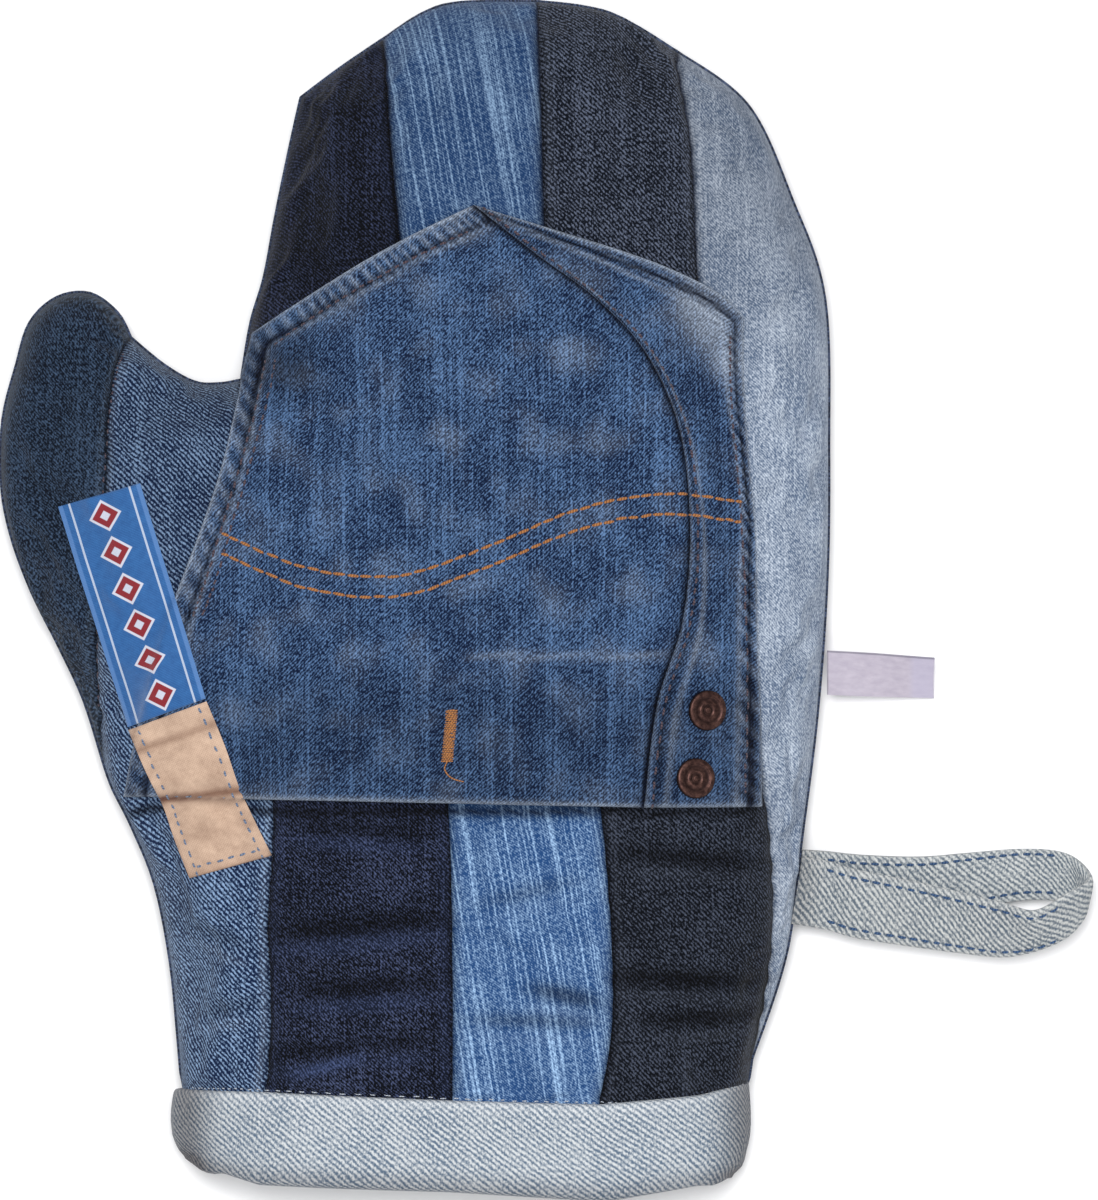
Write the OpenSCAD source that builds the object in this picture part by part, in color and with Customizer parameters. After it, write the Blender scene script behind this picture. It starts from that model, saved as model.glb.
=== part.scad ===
// Oven mitt in patchwork denim, lying flat on its back.
// +Y runs from the cuff to the fingertips, +X towards the hanging loop, +Z up.
// The surface rises from the side seam as a quarter ellipse of the distance to the seam.

/* [Mitt] */
// Height of the side seam above the surface that the mitt lies on
seam_h = 10; // [8.5:0.5:12]
// Height of the front's crown above the side seam
crown_h = 30; // [26:1:34]
// Distance from the seam over which the front rounds over
front_round = 50; // [44:1:60]
// Distance from the seam over which the back rounds under
back_round = 26; // [20:1:32]

/* [Layers] */
// Thickness of the denim shell
denim_t = 1.1; // [0.8:0.1:1.3]
// Thickness of the quilted wadding
wadding_t = 3.8; // [3:0.1:4]
// Thickness of the cotton lining
lining_t = 0.9; // [0.6:0.1:1]
// Thickness of the binding's padded outer fold
binding_t = 2.4; // [1.6:0.1:2.6]

/* [Pocket] */
// Thickness of the pocket's turned denim
pocket_t = 1.5; // [1:0.1:1.8]
// How far the pocket's mouth stands off the front in its middle
pocket_bag = 7.5; // [6.8:0.1:8]
// Radius of a rivet's cap
rivet_r = 5.2; // [4.5:0.1:5.4]

/* [Hanging loop and tag] */
// Thickness of the folded strap
strap_t = 2.3; // [1.8:0.1:2.5]
// Length of the side tag beyond the seam
tag_len = 29; // [24:1:32]
// Width of the side tag
tag_w = 11.5; // [9:0.5:13]

/* [Hidden] */

layer_gap = 0.1;            // between one layer and the next
seam_gap = 0.1;             // each half stops this far from the seam's own height
wadding_at = denim_t + layer_gap;
lining_at = wadding_at + wadding_t + layer_gap;
wall_t = lining_at + lining_t;
binding_in_t = 1.4;         // inner fold of the binding
sewn_gap = 0.7;             // pocket above the front where it is sewn down
label_t = 0.5;
thread_t = 0.6;

denim_navy = "#252b3d";
denim_blue = "#557596";
denim_charcoal = "#2f3543";
denim_pale = "#94a0ab";
denim_mid = "#4a6078";
denim_thumb = "#303c4e";
denim_pocket = "#3e5270";
denim_reverse = "#aeb5bc";

// ---------- seams and outline, in millimetres, chosen by hand ----------
// Rows of the patchwork grid: 0 is the folded edge of the cuff, 2 the binding's upper edge,
// 8 the foot of the thumb, 20 the crotch, 27 the fingertips.

left_cuff = [[-92.5, -143.5], [-95.5, -136], [-95, -127]];
left_side = [[-95, -127], [-96, -114], [-98, -94], [-102, -74], [-108, -59], [-113, -49],
             [-115.5, -42]];
thumb_outer = [[-115.5, -42], [-120.5, -26], [-127, -12], [-134, 2], [-139.5, 17], [-142, 31],
               [-141.5, 47], [-138, 61], [-134.5, 72], [-127.5, 78.5], [-119, 79.5],
               [-112, 74.5], [-108.5, 68]];
thumb_seam = [[-115.5, -42], [-116.5, -33], [-117.5, -24], [-117.5, -14], [-116.5, 0],
              [-115.5, 12], [-114.5, 24], [-114, 36], [-113.5, 46], [-112.5, 54],
              [-111.5, 60], [-110, 64], [-108.5, 68]];
crotch = [[-108.5, 68], [-100, 61], [-92, 56.5], [-85.5, 56], [-79.5, 57]];
side_seam_cuff = [[-75, -148.5], [-73.5, -138], [-73, -127]];
side_seam = [[-73, -127], [-72, -112], [-72, -97], [-72.5, -84], [-71.5, -69], [-71, -54],
             [-72, -38], [-73, -22], [-74, -4], [-75, 14], [-77, 34], [-79.5, 57]];
hand_left = [[-79.5, 57], [-77, 72], [-73.5, 84], [-70.5, 100], [-67, 117], [-64, 130.5]];
navy_seam_cuff = [[-25, -150], [-24.5, -140], [-24.5, -129]];
navy_seam = [[-24.5, -129], [-24.5, -94], [-25.5, -54], [-29, -8], [-34, 40], [-38, 88],
             [-41, 120], [-43, 145.5]];
blue_seam_cuff = [[15.5, -152.5], [14, -142], [13.5, -130]];
blue_seam = [[13.5, -130], [17, -106], [15, -66], [8.5, -14], [3, 40], [-0.5, 92], [-1.5, 124],
             [-2.5, 155.5]];
right_cuff = [[49.5, -147.5], [52.5, -138], [52, -127]];
right_foot = [[52, -127], [53, -119.5]];
pale_seam = [[53, -119.5], [59, -92], [58.5, -62], [52.5, -28], [48, 8], [43.5, 48], [39, 84],
             [37.5, 116], [33.5, 142.5]];
right_side = [[53, -119.5], [62, -92], [66, -62], [70, -30], [72.5, 4], [73, 38], [72, 78],
              [63.5, 104], [52, 128.5], [33.5, 142.5]];
navy_top = [[-64, 130.5], [-54, 138], [-43, 145.5]];
blue_top = [[-43, 145.5], [-27, 154.5], [-2.5, 155.5]];
charcoal_top = [[-2.5, 155.5], [16, 152.5], [33.5, 142.5]];

// The edges between the panels, from left to right: [curve, first row, last row] in turn
edges = [
    [[thumb_outer, 8, 20]],
    [[left_cuff, 0, 2], [left_side, 2, 8], [thumb_seam, 8, 20]],
    [[side_seam_cuff, 0, 2], [side_seam, 2, 20], [hand_left, 20, 27]],
    [[navy_seam_cuff, 0, 2], [navy_seam, 2, 27]],
    [[blue_seam_cuff, 0, 2], [blue_seam, 2, 27]],
    [[right_cuff, 0, 2], [right_foot, 2, 3], [pale_seam, 3, 27]],
    [[right_side, 3, 27]]
];
// The panels: [first row, last row, columns, curve along the far end, first row of its bend]
panels = [
    [8, 20, 3, [], 0],
    [0, 20, 4, crotch, 12],
    [0, 27, 4, navy_top, 18],
    [0, 27, 4, blue_top, 18],
    [0, 27, 4, charcoal_top, 18],
    [3, 27, 3, [], 0]
];

// ---------- curves ----------
function clamp(x) = min(1, max(0, x));
function smooth(x) = let (t = clamp(x)) t * t * (3 - 2 * t);
function mix(a, b, t) = a + (b - a) * t;
function spline(a, b, c, d, t) =
    0.5 * (2 * b + (c - a) * t + (2 * a - 5 * b + 4 * c - d) * t * t
           + (3 * b - a - 3 * c + d) * t * t * t);
// A smooth curve through c, at t from 0 to 1
function along(c, t) =
    let (last = len(c) - 1, s = clamp(t) * last, i = min(floor(s), last - 1))
    spline(c[max(i - 1, 0)], c[i], c[i + 1], c[min(i + 2, last)], s - i);
function edge(k, row) =
    let (part = [for (s = edges[k]) if (row >= s[1] && row <= s[2]) s][0])
    along(part[0], (row - part[1]) / (part[2] - part[1]));
// A point of panel k, u from 0 to 1 across it, at a row
function panel_at(k, u, row) =
    let (p = panels[k], flat = mix(edge(k, row), edge(k + 1, row), u), c = p[3])
    len(c) == 0 ? flat
    : flat + smooth((row - p[4]) / (p[1] - p[4]))
        * (along(c, u) - mix(c[0], c[len(c) - 1], u));

// ---------- distance to the side seam and the height of the two halves ----------
rim = [
    [-94, -215],
    for (r = [0:7]) edge(1, r),
    for (r = [8:19]) edge(0, r),
    for (u = [0:0.25:0.75]) panel_at(1, u, 20),
    for (r = [20:26]) edge(2, r),
    for (k = [2:4], u = [0:0.25:0.75]) panel_at(k, u, 27),
    for (r = [27:-1:4]) edge(6, r),
    for (r = [3:-1:0]) edge(5, r),
    [49, -215]
];
// Inverse-cube integral over one straight stretch of the rim
function pull(p, a, b) =
    let (l = norm(b - a), t = (b - a) / l, s = (p - a) * t, e = l - s,
         d2 = max((p - a) * (p - a) - s * s, 1e-6))
    (s / sqrt(d2 + s * s) + e / sqrt(d2 + e * e)) / d2;
function add(v, i = 0) = i >= len(v) ? 0 : v * [for (x = v) 1];
// Smooth distance from the side seam, 0 on it
function depth_in(p) =
    let (sum = add([for (i = [0:len(rim) - 2]) pull(p, rim[i], rim[i + 1])]))
    sqrt(2 / sum);
function round_over(t) = t >= 1 ? 1 : sqrt(1 - (1 - t) * (1 - t));
// The back lifts by the binding's thickness over the cuff
function cuff_lift(y) = (binding_t + 0.1) * smooth((-114 - y) / 12);
function height(p, side) =
    let (d = depth_in(p))
    side > 0 ? seam_h + seam_gap + crown_h * round_over(d / front_round)
    : seam_h - seam_gap - (seam_h - seam_gap - cuff_lift(p.y)) * round_over(d / back_round);
function rim_index(p) =
    let (near = [for (i = [1:len(rim) - 2]) if (norm(p - rim[i]) < 0.01) i])
    len(near) > 0 ? near[0] : 0;
function unit(v) = v / norm(v);
// A point of the shell's outer face with its outward normal
function skin(p, side) =
    let (i = rim_index(p))
    i > 0 ? let (t = unit(rim[i + 1] - rim[i - 1]))
        [[p.x, p.y, seam_h + side * seam_gap], [-t.y, t.x, 0]]
    : let (h = 0.3, z = height(p, side),
           dx = (height(p + [h, 0], side) - z) / h, dy = (height(p + [0, h], side) - z) / h)
        [[p.x, p.y, z], side * unit([-dx, -dy, 1])];
// The same point, moved in by a depth or out by a negative one
function under(s, depth) = s[0] - s[1] * depth;

// ---------- solids from grids ----------
// A grid of [point, normal] becomes a slab between two depths. Rows at a pinched end
// share one point, so each cell there is one triangle.
function panel_grid(k, side) =
    let (p = panels[k])
    [for (r = [p[0]:p[1]]) [for (c = [0:p[2]]) skin(panel_at(k, c / p[2], r), side)]];
function tri(a, b, c) = norm(a - b) < 0.001 || norm(b - c) < 0.001 || norm(a - c) < 0.001
    ? [] : [[a, b, c]];
function quad(a, b, c, d) = concat(tri(a, b, c), tri(a, c, d));
function face(g, depth, turn) =
    [for (r = [0:len(g) - 2], c = [0:len(g[0]) - 2])
        let (a = under(g[r][c], depth), b = under(g[r][c + 1], depth),
             d = under(g[r + 1][c + 1], depth), e = under(g[r + 1][c], depth))
        each turn ? concat(tri(a, d, b), tri(a, e, d)) : quad(a, b, d, e)];
function wall(line, top, bottom, turn) =
    [for (i = [0:len(line) - 2])
        let (a = under(line[i], top), b = under(line[i + 1], top),
             d = under(line[i + 1], bottom), e = under(line[i], bottom))
        each turn ? quad(a, b, d, e) : quad(b, a, e, d)];
function column(g, c) = [for (row = g) row[c]];
function slab_tris(g, top, bottom, left, right, foot, head, flip) =
    concat(
        face(g, top, flip), face(g, bottom, !flip),
        left ? wall(column(g, 0), top, bottom, !flip) : [],
        right ? wall(column(g, len(g[0]) - 1), top, bottom, flip) : [],
        foot ? wall(g[0], top, bottom, flip) : [],
        head ? wall(g[len(g) - 1], top, bottom, !flip) : []);
module triangles(tris) {
    polyhedron(points = [for (t = tris) each t],
               faces = [for (i = [0:len(tris) - 1]) [3 * i + 2, 3 * i + 1, 3 * i]]);
}
module slab(g, top, bottom) {
    triangles(slab_tris(g, top, bottom, true, true, true, true, false));
}

// One panel, held a hair back from its seams so that neighbours only touch
seam_clear = 0.06;
function drawn_in(g) =
    let (n = len(g[0]) - 1, m = len(g) - 1)
    [for (r = [0:m]) [for (c = [0:n])
        let (s = g[r][c], wide = norm(g[r][0][0] - g[r][n][0]),
             to = c == 0 ? g[r][1][0] : c == n ? g[r][n - 1][0] : s[0])
        wide < 1 || norm(to - s[0]) < 0.5 ? s : [s[0] + unit(to - s[0]) * seam_clear, s[1]]]];
module denim_panel(k) { slab(drawn_in(panel_grid(k, 1)), 0, denim_t); }

// One layer of a whole half, front (1) or back (-1), as a single solid
module half_layer(side, top, bottom) {
    flip = side < 0;
    g = [for (k = [0:5]) panel_grid(k, side)];
    triangles(concat(
        slab_tris(g[0], top, bottom, true, false, false, false, flip),
        slab_tris(g[1], top, bottom, false, false, true, true, flip),
        wall([for (r = [0:8]) g[1][r][0]], top, bottom, !flip),
        slab_tris(g[2], top, bottom, false, false, true, true, flip),
        wall([for (r = [20:27]) g[2][r][0]], top, bottom, !flip),
        slab_tris(g[3], top, bottom, false, false, true, true, flip),
        slab_tris(g[4], top, bottom, false, false, true, true, flip),
        wall([for (r = [0:3]) g[4][r][4]], top, bottom, flip),
        slab_tris(g[5], top, bottom, false, true, false, false, flip)));
}

// ---------- shell, wadding and lining ----------
module front_thumb_panel() { color(denim_thumb) denim_panel(0); }
module front_side_panel() { color(denim_mid) denim_panel(1); }
module front_navy_panel() { color(denim_navy) denim_panel(2); }
module front_blue_panel() { color(denim_blue) denim_panel(3); }
module front_charcoal_panel() { color(denim_charcoal) denim_panel(4); }
module front_pale_panel() { color(denim_pale) denim_panel(5); }
module back_panel() { color(denim_navy) half_layer(-1, 0, denim_t); }
module front_wadding() {
    color("#e9e4d8") half_layer(1, wadding_at, wadding_at + wadding_t);
}
module back_wadding() {
    color("#e9e4d8") half_layer(-1, wadding_at, wadding_at + wadding_t);
}
module front_lining() { color("#d9d2c0") half_layer(1, lining_at, wall_t); }
module back_lining() { color("#d9d2c0") half_layer(-1, lining_at, wall_t); }

// ---------- cuff binding ----------
// Stations round the mouth, each the skin at rows 0, 1 and 2
function cuff_stations(side) =
    [for (k = [1:4], c = [0:(k == 4 ? 4 : 3)]) [for (r = [0:2])
        skin(panel_at(k, c / 4, r), side)]];
function reversed(v) = [for (i = [len(v) - 1:-1:0]) v[i]];
// The folded strip in section: round the raw edges of the shell, wadding and lining
function binding_section(s) =
    let (fold = [0, -1, 0], inner = wall_t + layer_gap)
    [under(s[2], -layer_gap - binding_t * 0.7), under(s[1], -layer_gap - binding_t),
     under(s[0], -layer_gap - binding_t * 0.8) + 0.6 * fold,
     under(s[0], wall_t * 0.2) + 2.8 * fold, under(s[0], wall_t * 0.8) + 2.8 * fold,
     under(s[0], inner + binding_in_t) + 0.6 * fold, under(s[2], inner + binding_in_t),
     under(s[2], inner), under(s[0], inner) + 0.3 * fold,
     under(s[0], -layer_gap) + 0.3 * fold, under(s[1], -layer_gap), under(s[2], -layer_gap)];
module ring(sections) {
    n = len(sections);
    m = len(sections[0]);
    triangles([for (i = [0:n - 1], j = [0:m - 1])
        let (p = sections[i], q = sections[(i + 1) % n], a = j, b = (j + 1) % m)
        each quad(p[a], p[b], q[b], q[a])]);
}
module cuff_binding() {
    color(denim_reverse)
        ring([for (s = concat(cuff_stations(1), reversed(cuff_stations(-1))))
            binding_section(s)]);
}

// ---------- stitches ----------
// One stitch of thread from a to b, lying on a surface with the normal n
module stitch(a, b, n, w) {
    t = unit(b - a);
    s = unit(cross(n, t));
    up = cross(t, s);
    m = (a + b) / 2;
    multmatrix([[t.x, s.x, up.x, m.x], [t.y, s.y, up.y, m.y], [t.z, s.z, up.z, m.z], [0, 0, 0, 1]])
        translate([-norm(b - a) / 2, -w / 2, 0]) cube([norm(b - a), w, thread_t]);
}
// Stitches along a curve on the front, lifted clear of whatever thread they cross
module stitch_row(curve, count, filled, w, lift = 0) {
    for (i = [0:count - 1]) {
        a = along(curve, i / count);
        b = along(curve, (i + filled) / count);
        s = skin(a, 1);
        e = skin(b, 1);
        stitch(under(s, -rise(a) - lift), under(e, -rise(b) - lift), s[1], w);
    }
}

// ---------- pocket ----------
pocket_left = [[-108.5, -50.5], [-104.5, -30], [-97.5, -4], [-89.5, 17.5], [-84, 34],
               [-79.5, 52], [-75, 69]];
pocket_right = [[54.5, -53.5], [54.5, -33], [53.5, -8], [53, 16], [51, 40], [50, 58], [50, 73]];
band_seam = [[24.5, -53.5], [28, -27], [34.5, -5.5], [36.5, 17], [34, 43], [25.5, 63],
             [13, 77], [-3, 89], [-19, 101.5]];
slope_left = [[-75, 69], [-57, 81], [-38.5, 92], [-19, 101.5]];
slope_right = [[-19, 101.5], [4, 94.5], [27, 87], [43, 79.5], [50, 73]];
mouth_left = [[-108.5, -50.5], [-66, -51], [-20, -52], [24.5, -53.5]];
// [y, x] of the pocket's two sides, for telling where the pocket is
pocket_xl = [for (p = pocket_left) [p.y, p.x]];
pocket_xr = [for (p = pocket_right) [p.y, p.x]];
mouth_y = -52;
sewn_y = 62;                // above this the pocket lies close to the front
// The pocket bridges the hollow at the foot of the crotch: place, size and height
hollow_at = [-74, 54];
hollow_size = 9;
hollow_lift = 1.8;
function pocket_gap(p) =
    let (l = lookup(p.y, pocket_xl), r = lookup(p.y, pocket_xr), across = clamp((p.x - l) / (r - l)))
    sewn_gap + (pocket_bag - sewn_gap) * pow(sin(180 * across), 2)
        * pow(clamp((sewn_y - p.y) / (sewn_y - mouth_y)), 1.4)
    + hollow_lift * exp(-pow(norm(p - hollow_at) / hollow_size, 2));
// Columns of its two parts, closer together where the front falls away at the thumb
pocket_cols = [[0, 0.04, 0.09, 0.16, 0.24, 0.33, 0.43, 0.54, 0.66, 0.78, 0.89, 1],
               [for (i = [0:6]) i / 6]];
pocket_rows = 20;
function pocket_at(part, u, v) =
    let (l = part == 0 ? pocket_left : band_seam, r = part == 0 ? band_seam : pocket_right,
         c = part == 0 ? slope_left : slope_right,
         flat = mix(along(l, v), along(r, v), u))
    flat + pow(v, 4) * (along(c, u) - mix(c[0], c[len(c) - 1], u));
function pocket_grid(part) =
    [for (v = [0:pocket_rows]) [for (u = pocket_cols[part])
        let (p = pocket_at(part, u, v / pocket_rows), s = skin(p, 1))
        [s[0] + s[1] * (pocket_gap(p) + pocket_t), s[1]]]];
module pocket_panel() { color(denim_pocket) slab(drawn_in(pocket_grid(0)), 0, pocket_t); }
rivet_places = [[41, -28.5], [38, -46]];
post_r = 1.5;
// Places a child on the pocket's outer face, its +Z along the outward normal
function pocket_top(p) = let (s = skin(p, 1)) s[0] + s[1] * (pocket_gap(p) + pocket_t);
module on_pocket(p) {
    n = unit(cross(pocket_top(p + [1, 0]) - pocket_top(p - [1, 0]),
                   pocket_top(p + [0, 1]) - pocket_top(p - [0, 1])));
    t = unit([n.z, 0, -n.x]);
    b = cross(n, t);
    o = pocket_top(p);
    multmatrix([[t.x, b.x, n.x, o.x], [t.y, b.y, n.y, o.y], [t.z, b.z, n.z, o.z], [0, 0, 0, 1]])
        children();
}
module pocket_side_band() {
    color(denim_pocket) difference() {
        slab(drawn_in(pocket_grid(1)), 0, pocket_t);
        for (p = rivet_places) on_pocket(p)
            translate([0, 0, -4]) cylinder(h = 6, r = post_r + 0.1, $fn = 32);
    }
}
// Cap with a rolled rim, a dished ring and a centre nub, on a post through the denim
module rivet_caps() {
    color("#3b2a28") for (p = rivet_places) on_pocket(p) {
        translate([0, 0, 0.1]) rotate_extrude($fn = 48)
            polygon([[0, 0], [rivet_r, 0], [rivet_r, 0.8], [rivet_r - 0.6, 1.3],
                     [rivet_r - 1.3, 1.3], [rivet_r - 1.9, 0.9], [1.9, 1.0], [1.4, 1.5], [0, 1.6]]);
        translate([0, 0, -pocket_t]) cylinder(h = pocket_t + 0.1, r = post_r, $fn = 32);
    }
}
module rivet_backs() {
    color("#6b4a3c") for (p = rivet_places) on_pocket(p)
        translate([0, 0, -pocket_t - 0.75]) cylinder(h = 0.5, r = 4, $fn = 48);
}

// Height of a thread or label above the front at p: it rides over the pocket where there is one
edge_ramp = 4;
function rise(p) =
    let (l = lookup(p.y, pocket_xl), r = lookup(p.y, pocket_xr),
         over = smooth((p.x - l + edge_ramp) / edge_ramp) * smooth((r - p.x + edge_ramp) / edge_ramp)
             * smooth((p.y - mouth_y + edge_ramp + 1.5) / edge_ramp))
    0.3 + over * (pocket_gap(p) + pocket_t + 0.4);

slope_stitch = [[-70.5, 66], [-55, 76.5], [-37.5, 86.5], [-20, 95]];
side_stitch = [[-72.8, 62], [-76.5, 45], [-82, 25], [-88, 5], [-91.5, -4.5]];
band_stitch = [for (i = [0:8]) band_seam[i] + [2.2, -0.4]];
right_stitch = [[51, -50], [51.5, -20], [50, 20], [47.5, 50], [47, 68]];
module pocket_topstitching() {
    color("#3a2c34") {
        stitch_row(slope_stitch, 14, 0.75, 0.7);
        stitch_row(side_stitch, 16, 0.75, 0.7);
        stitch_row([for (p = side_stitch) p + [2.6, 0.3]], 16, 0.75, 0.7);
        stitch_row(band_stitch, 40, 0.75, 0.7);
        stitch_row(right_stitch, 26, 0.75, 0.7);
    }
}
// Two parallel rows in one long shallow wave across the pocket
wave = [[-84, 12], [-62, 3], [-38, 1], [-14, 9], [8, 18], [30, 22], [50, 20]];
module ornamental_stitching() {
    color("#b77a3f") for (dy = [0, 5.2])
        stitch_row([for (p = wave) p + [0, dy]], 38, 0.78, 0.8, thread_t + 0.2);
}
// A dense bar of thread with a loose end
module bartack() {
    color("#b9733a") {
        a = [-24.5, -28.5];
        b = [-25.8, -42];
        count = 5;
        for (i = [0:count - 1]) {
            p = mix(a, b, i / count);
            q = mix(a, b, (i + 0.9) / count);
            stitch(under(skin(p, 1), -rise(p)), under(skin(q, 1), -rise(q)), skin(p, 1)[1], 2.8);
        }
    }
}
module panel_seam_thread() {
    color("#4a3a3c") stitch_row([[-116.4, -28], [-116.2, 0], [-114.6, 30], [-112.4, 54], [-110, 64]],
                                28, 0.55, 0.6);
}
module binding_stitching() {
    row = [[-90, -125.4], [-73, -125], [-24.5, -127], [13.5, -128.2], [34, -128], [48, -125]];
    color("#c9cdd0") stitch_row(row, 40, 0.6, 0.6);
}

// ---------- labels ----------
// A thin label between two long sides, draped over whatever lies under it
label_lift = thread_t + 0.3;
module label(left, right, rows, cols) {
    g = [for (r = [0:rows]) [for (c = [0:cols])
        let (p = mix(along(left, r / rows), along(right, r / rows), c / cols), s = skin(p, 1))
        [s[0] + s[1] * (rise(p) + label_lift + label_t), s[1]]]];
    slab(g, 0, label_t);
}
woven_left = [[-108.5, -33], [-117.5, -4.5], [-126.5, 24]];
woven_right = [[-88, -25.5], [-96.5, 2.2], [-105, 30]];
cream_left = [[-92.5, -72], [-96.5, -62], [-99.5, -53.5], [-104, -44], [-108.3, -33.7]];
cream_right = [[-71, -66], [-75, -58], [-79, -49.5], [-83, -38], [-87.8, -26.2]];
module woven_label() { color("#3d67a0") label(woven_left, woven_right, 14, 5); }
module cream_label() { color("#cdb29e") label(cream_left, cream_right, 16, 5); }
module label_stitching() {
    inset = 0.11;
    lift = label_lift + label_t + 0.5;
    color("#56657c") for (t = [inset, 1 - inset]) {
        row = [for (i = [0:4]) mix(cream_left[i], cream_right[i], t)];
        for (i = [0:9]) {
            a = along(row, (i + 0.7) / 10.8);
            b = along(row, (i + 1.3) / 10.8);
            stitch(under(skin(a, 1), -rise(a) - lift), under(skin(b, 1), -rise(b) - lift),
                   skin(a, 1)[1], 0.6);
        }
    }
}

// ---------- hanging loop ----------
// Both edges of the strap, from its lower end in the seam, round the tip and back:
// [x, y, z] of the edge towards the fingertips, of the other edge, and the thickness
strap = [
    [[68.2, -65, 9.3], [67.8, -82.5, 9.3], 1.1],
    [[73, -65.5, 7.4], [73, -83, 7.2], 1.6],
    [[82, -66.5, 3.6], [82, -84, 3.4], strap_t],
    [[97, -67, 2.0], [97, -83.5, 1.9], strap_t],
    [[110, -66, 1.9], [110, -81, 3.2], strap_t],
    [[123, -65, 2.4], [123, -78.5, 6], strap_t],
    [[133, -65.5, 4.4], [132.5, -78.5, 8], strap_t],
    [[138.5, -68, 9], [139, -80.5, 10.2], strap_t],
    [[140.8, -72.5, 14.5], [138.5, -84, 13], strap_t],
    [[135, -76, 19], [134.5, -88, 14], strap_t],
    [[126.5, -80.5, 20.5], [126.5, -91.5, 13.6], strap_t],
    [[118, -78.5, 18.5], [118, -93, 12.4], strap_t],
    [[105.5, -75.5, 15.5], [106, -91.8, 11.8], strap_t],
    [[92, -72.5, 14], [93, -90, 12], strap_t],
    [[80, -70, 13], [80, -88, 12.2], strap_t],
    [[73, -68, 11.8], [73, -86, 11.8], 1.6],
    [[68.2, -66.8, 10.7], [67.8, -84.3, 10.7], 1.1]
];
function strap_mid(i) = (strap[i][0] + strap[i][1]) / 2;
function strap_normal(i) =
    let (last = len(strap) - 1, t = strap_mid(min(i + 1, last)) - strap_mid(max(i - 1, 0)))
    unit(cross(strap[i][0] - strap[i][1], t));
module hanging_loop() {
    sections = [for (i = [0:len(strap) - 1])
        let (s = strap[i], n = strap_normal(i) * s[2] / 2) [s[0] + n, s[0] - n, s[1] - n, s[1] + n]];
    last = len(sections) - 1;
    color(denim_reverse) triangles(concat(
        [for (i = [0:last - 1], j = [0:3])
            let (p = sections[i], q = sections[i + 1], b = (j + 1) % 4)
            each quad(p[j], p[b], q[b], q[j])],
        let (p = sections[0]) quad(p[3], p[2], p[1], p[0]),
        quad(sections[last][0], sections[last][1], sections[last][2], sections[last][3])));
}
// Two rows of stitches on the outer face of the upper run
module loop_stitching() {
    color("#2c4a6e") for (t = [0.13, 0.87], i = [10:14], part = [0:2]) {
        a = mix(mix(strap[i][0], strap[i][1], t), mix(strap[i + 1][0], strap[i + 1][1], t),
                part / 3 + 0.05);
        b = mix(mix(strap[i][0], strap[i][1], t), mix(strap[i + 1][0], strap[i + 1][1], t),
                part / 3 + 0.27);
        f = part / 3 + 0.15;
        n = -unit(mix(strap_normal(i), strap_normal(i + 1), f));
        lift = mix(strap[i][2], strap[i + 1][2], f) / 2 + 0.1;
        stitch(a + n * lift, b + n * lift, n, 0.7);
    }
}

// ---------- side tag ----------
tag_axis = [72.9, -19, seam_h];
tag_droop = asin((seam_h - 1.2) / tag_len);
ribbon_t = 0.35;
fold_r = 0.55;
// A ribbon folded in two, its ends in the seam
module side_tag() {
    color("#e4e4ea") translate(tag_axis) rotate([0, tag_droop, 0])
        translate([0, tag_w / 2, 0]) rotate([90, 0, 0]) linear_extrude(tag_w) {
            for (s = [-1, 1]) translate([0, s > 0 ? fold_r - ribbon_t : -fold_r])
                square([tag_len - fold_r, ribbon_t]);
            translate([tag_len - fold_r, 0]) difference() {
                circle(r = fold_r, $fn = 24);
                circle(r = fold_r - ribbon_t, $fn = 24);
                translate([-2 * fold_r, -fold_r]) square([2 * fold_r, 2 * fold_r]);
            }
        }
}

front_thumb_panel();
front_side_panel();
front_navy_panel();
front_blue_panel();
front_charcoal_panel();
front_pale_panel();
back_panel();
front_wadding();
back_wadding();
front_lining();
back_lining();
cuff_binding();
binding_stitching();
panel_seam_thread();
pocket_panel();
pocket_side_band();
pocket_topstitching();
ornamental_stitching();
bartack();
rivet_caps();
rivet_backs();
woven_label();
cream_label();
label_stitching();
hanging_loop();
loop_stitching();
side_tag();
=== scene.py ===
import bpy
import numpy as np
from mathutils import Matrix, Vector
from mathutils.bvhtree import BVHTree


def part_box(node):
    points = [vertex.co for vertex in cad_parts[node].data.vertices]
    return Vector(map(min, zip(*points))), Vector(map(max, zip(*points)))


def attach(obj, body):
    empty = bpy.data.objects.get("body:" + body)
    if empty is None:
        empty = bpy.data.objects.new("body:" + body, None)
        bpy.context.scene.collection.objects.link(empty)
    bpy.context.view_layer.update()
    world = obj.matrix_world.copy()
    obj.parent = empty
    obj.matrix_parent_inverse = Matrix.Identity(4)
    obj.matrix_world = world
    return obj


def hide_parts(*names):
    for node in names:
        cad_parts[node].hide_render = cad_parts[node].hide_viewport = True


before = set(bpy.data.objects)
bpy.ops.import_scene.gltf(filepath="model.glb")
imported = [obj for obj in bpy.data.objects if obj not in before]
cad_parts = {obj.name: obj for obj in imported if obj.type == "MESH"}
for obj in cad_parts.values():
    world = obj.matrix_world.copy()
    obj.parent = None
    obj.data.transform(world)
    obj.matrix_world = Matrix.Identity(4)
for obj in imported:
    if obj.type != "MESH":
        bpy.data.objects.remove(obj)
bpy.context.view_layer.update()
mm = 0.001

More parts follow.
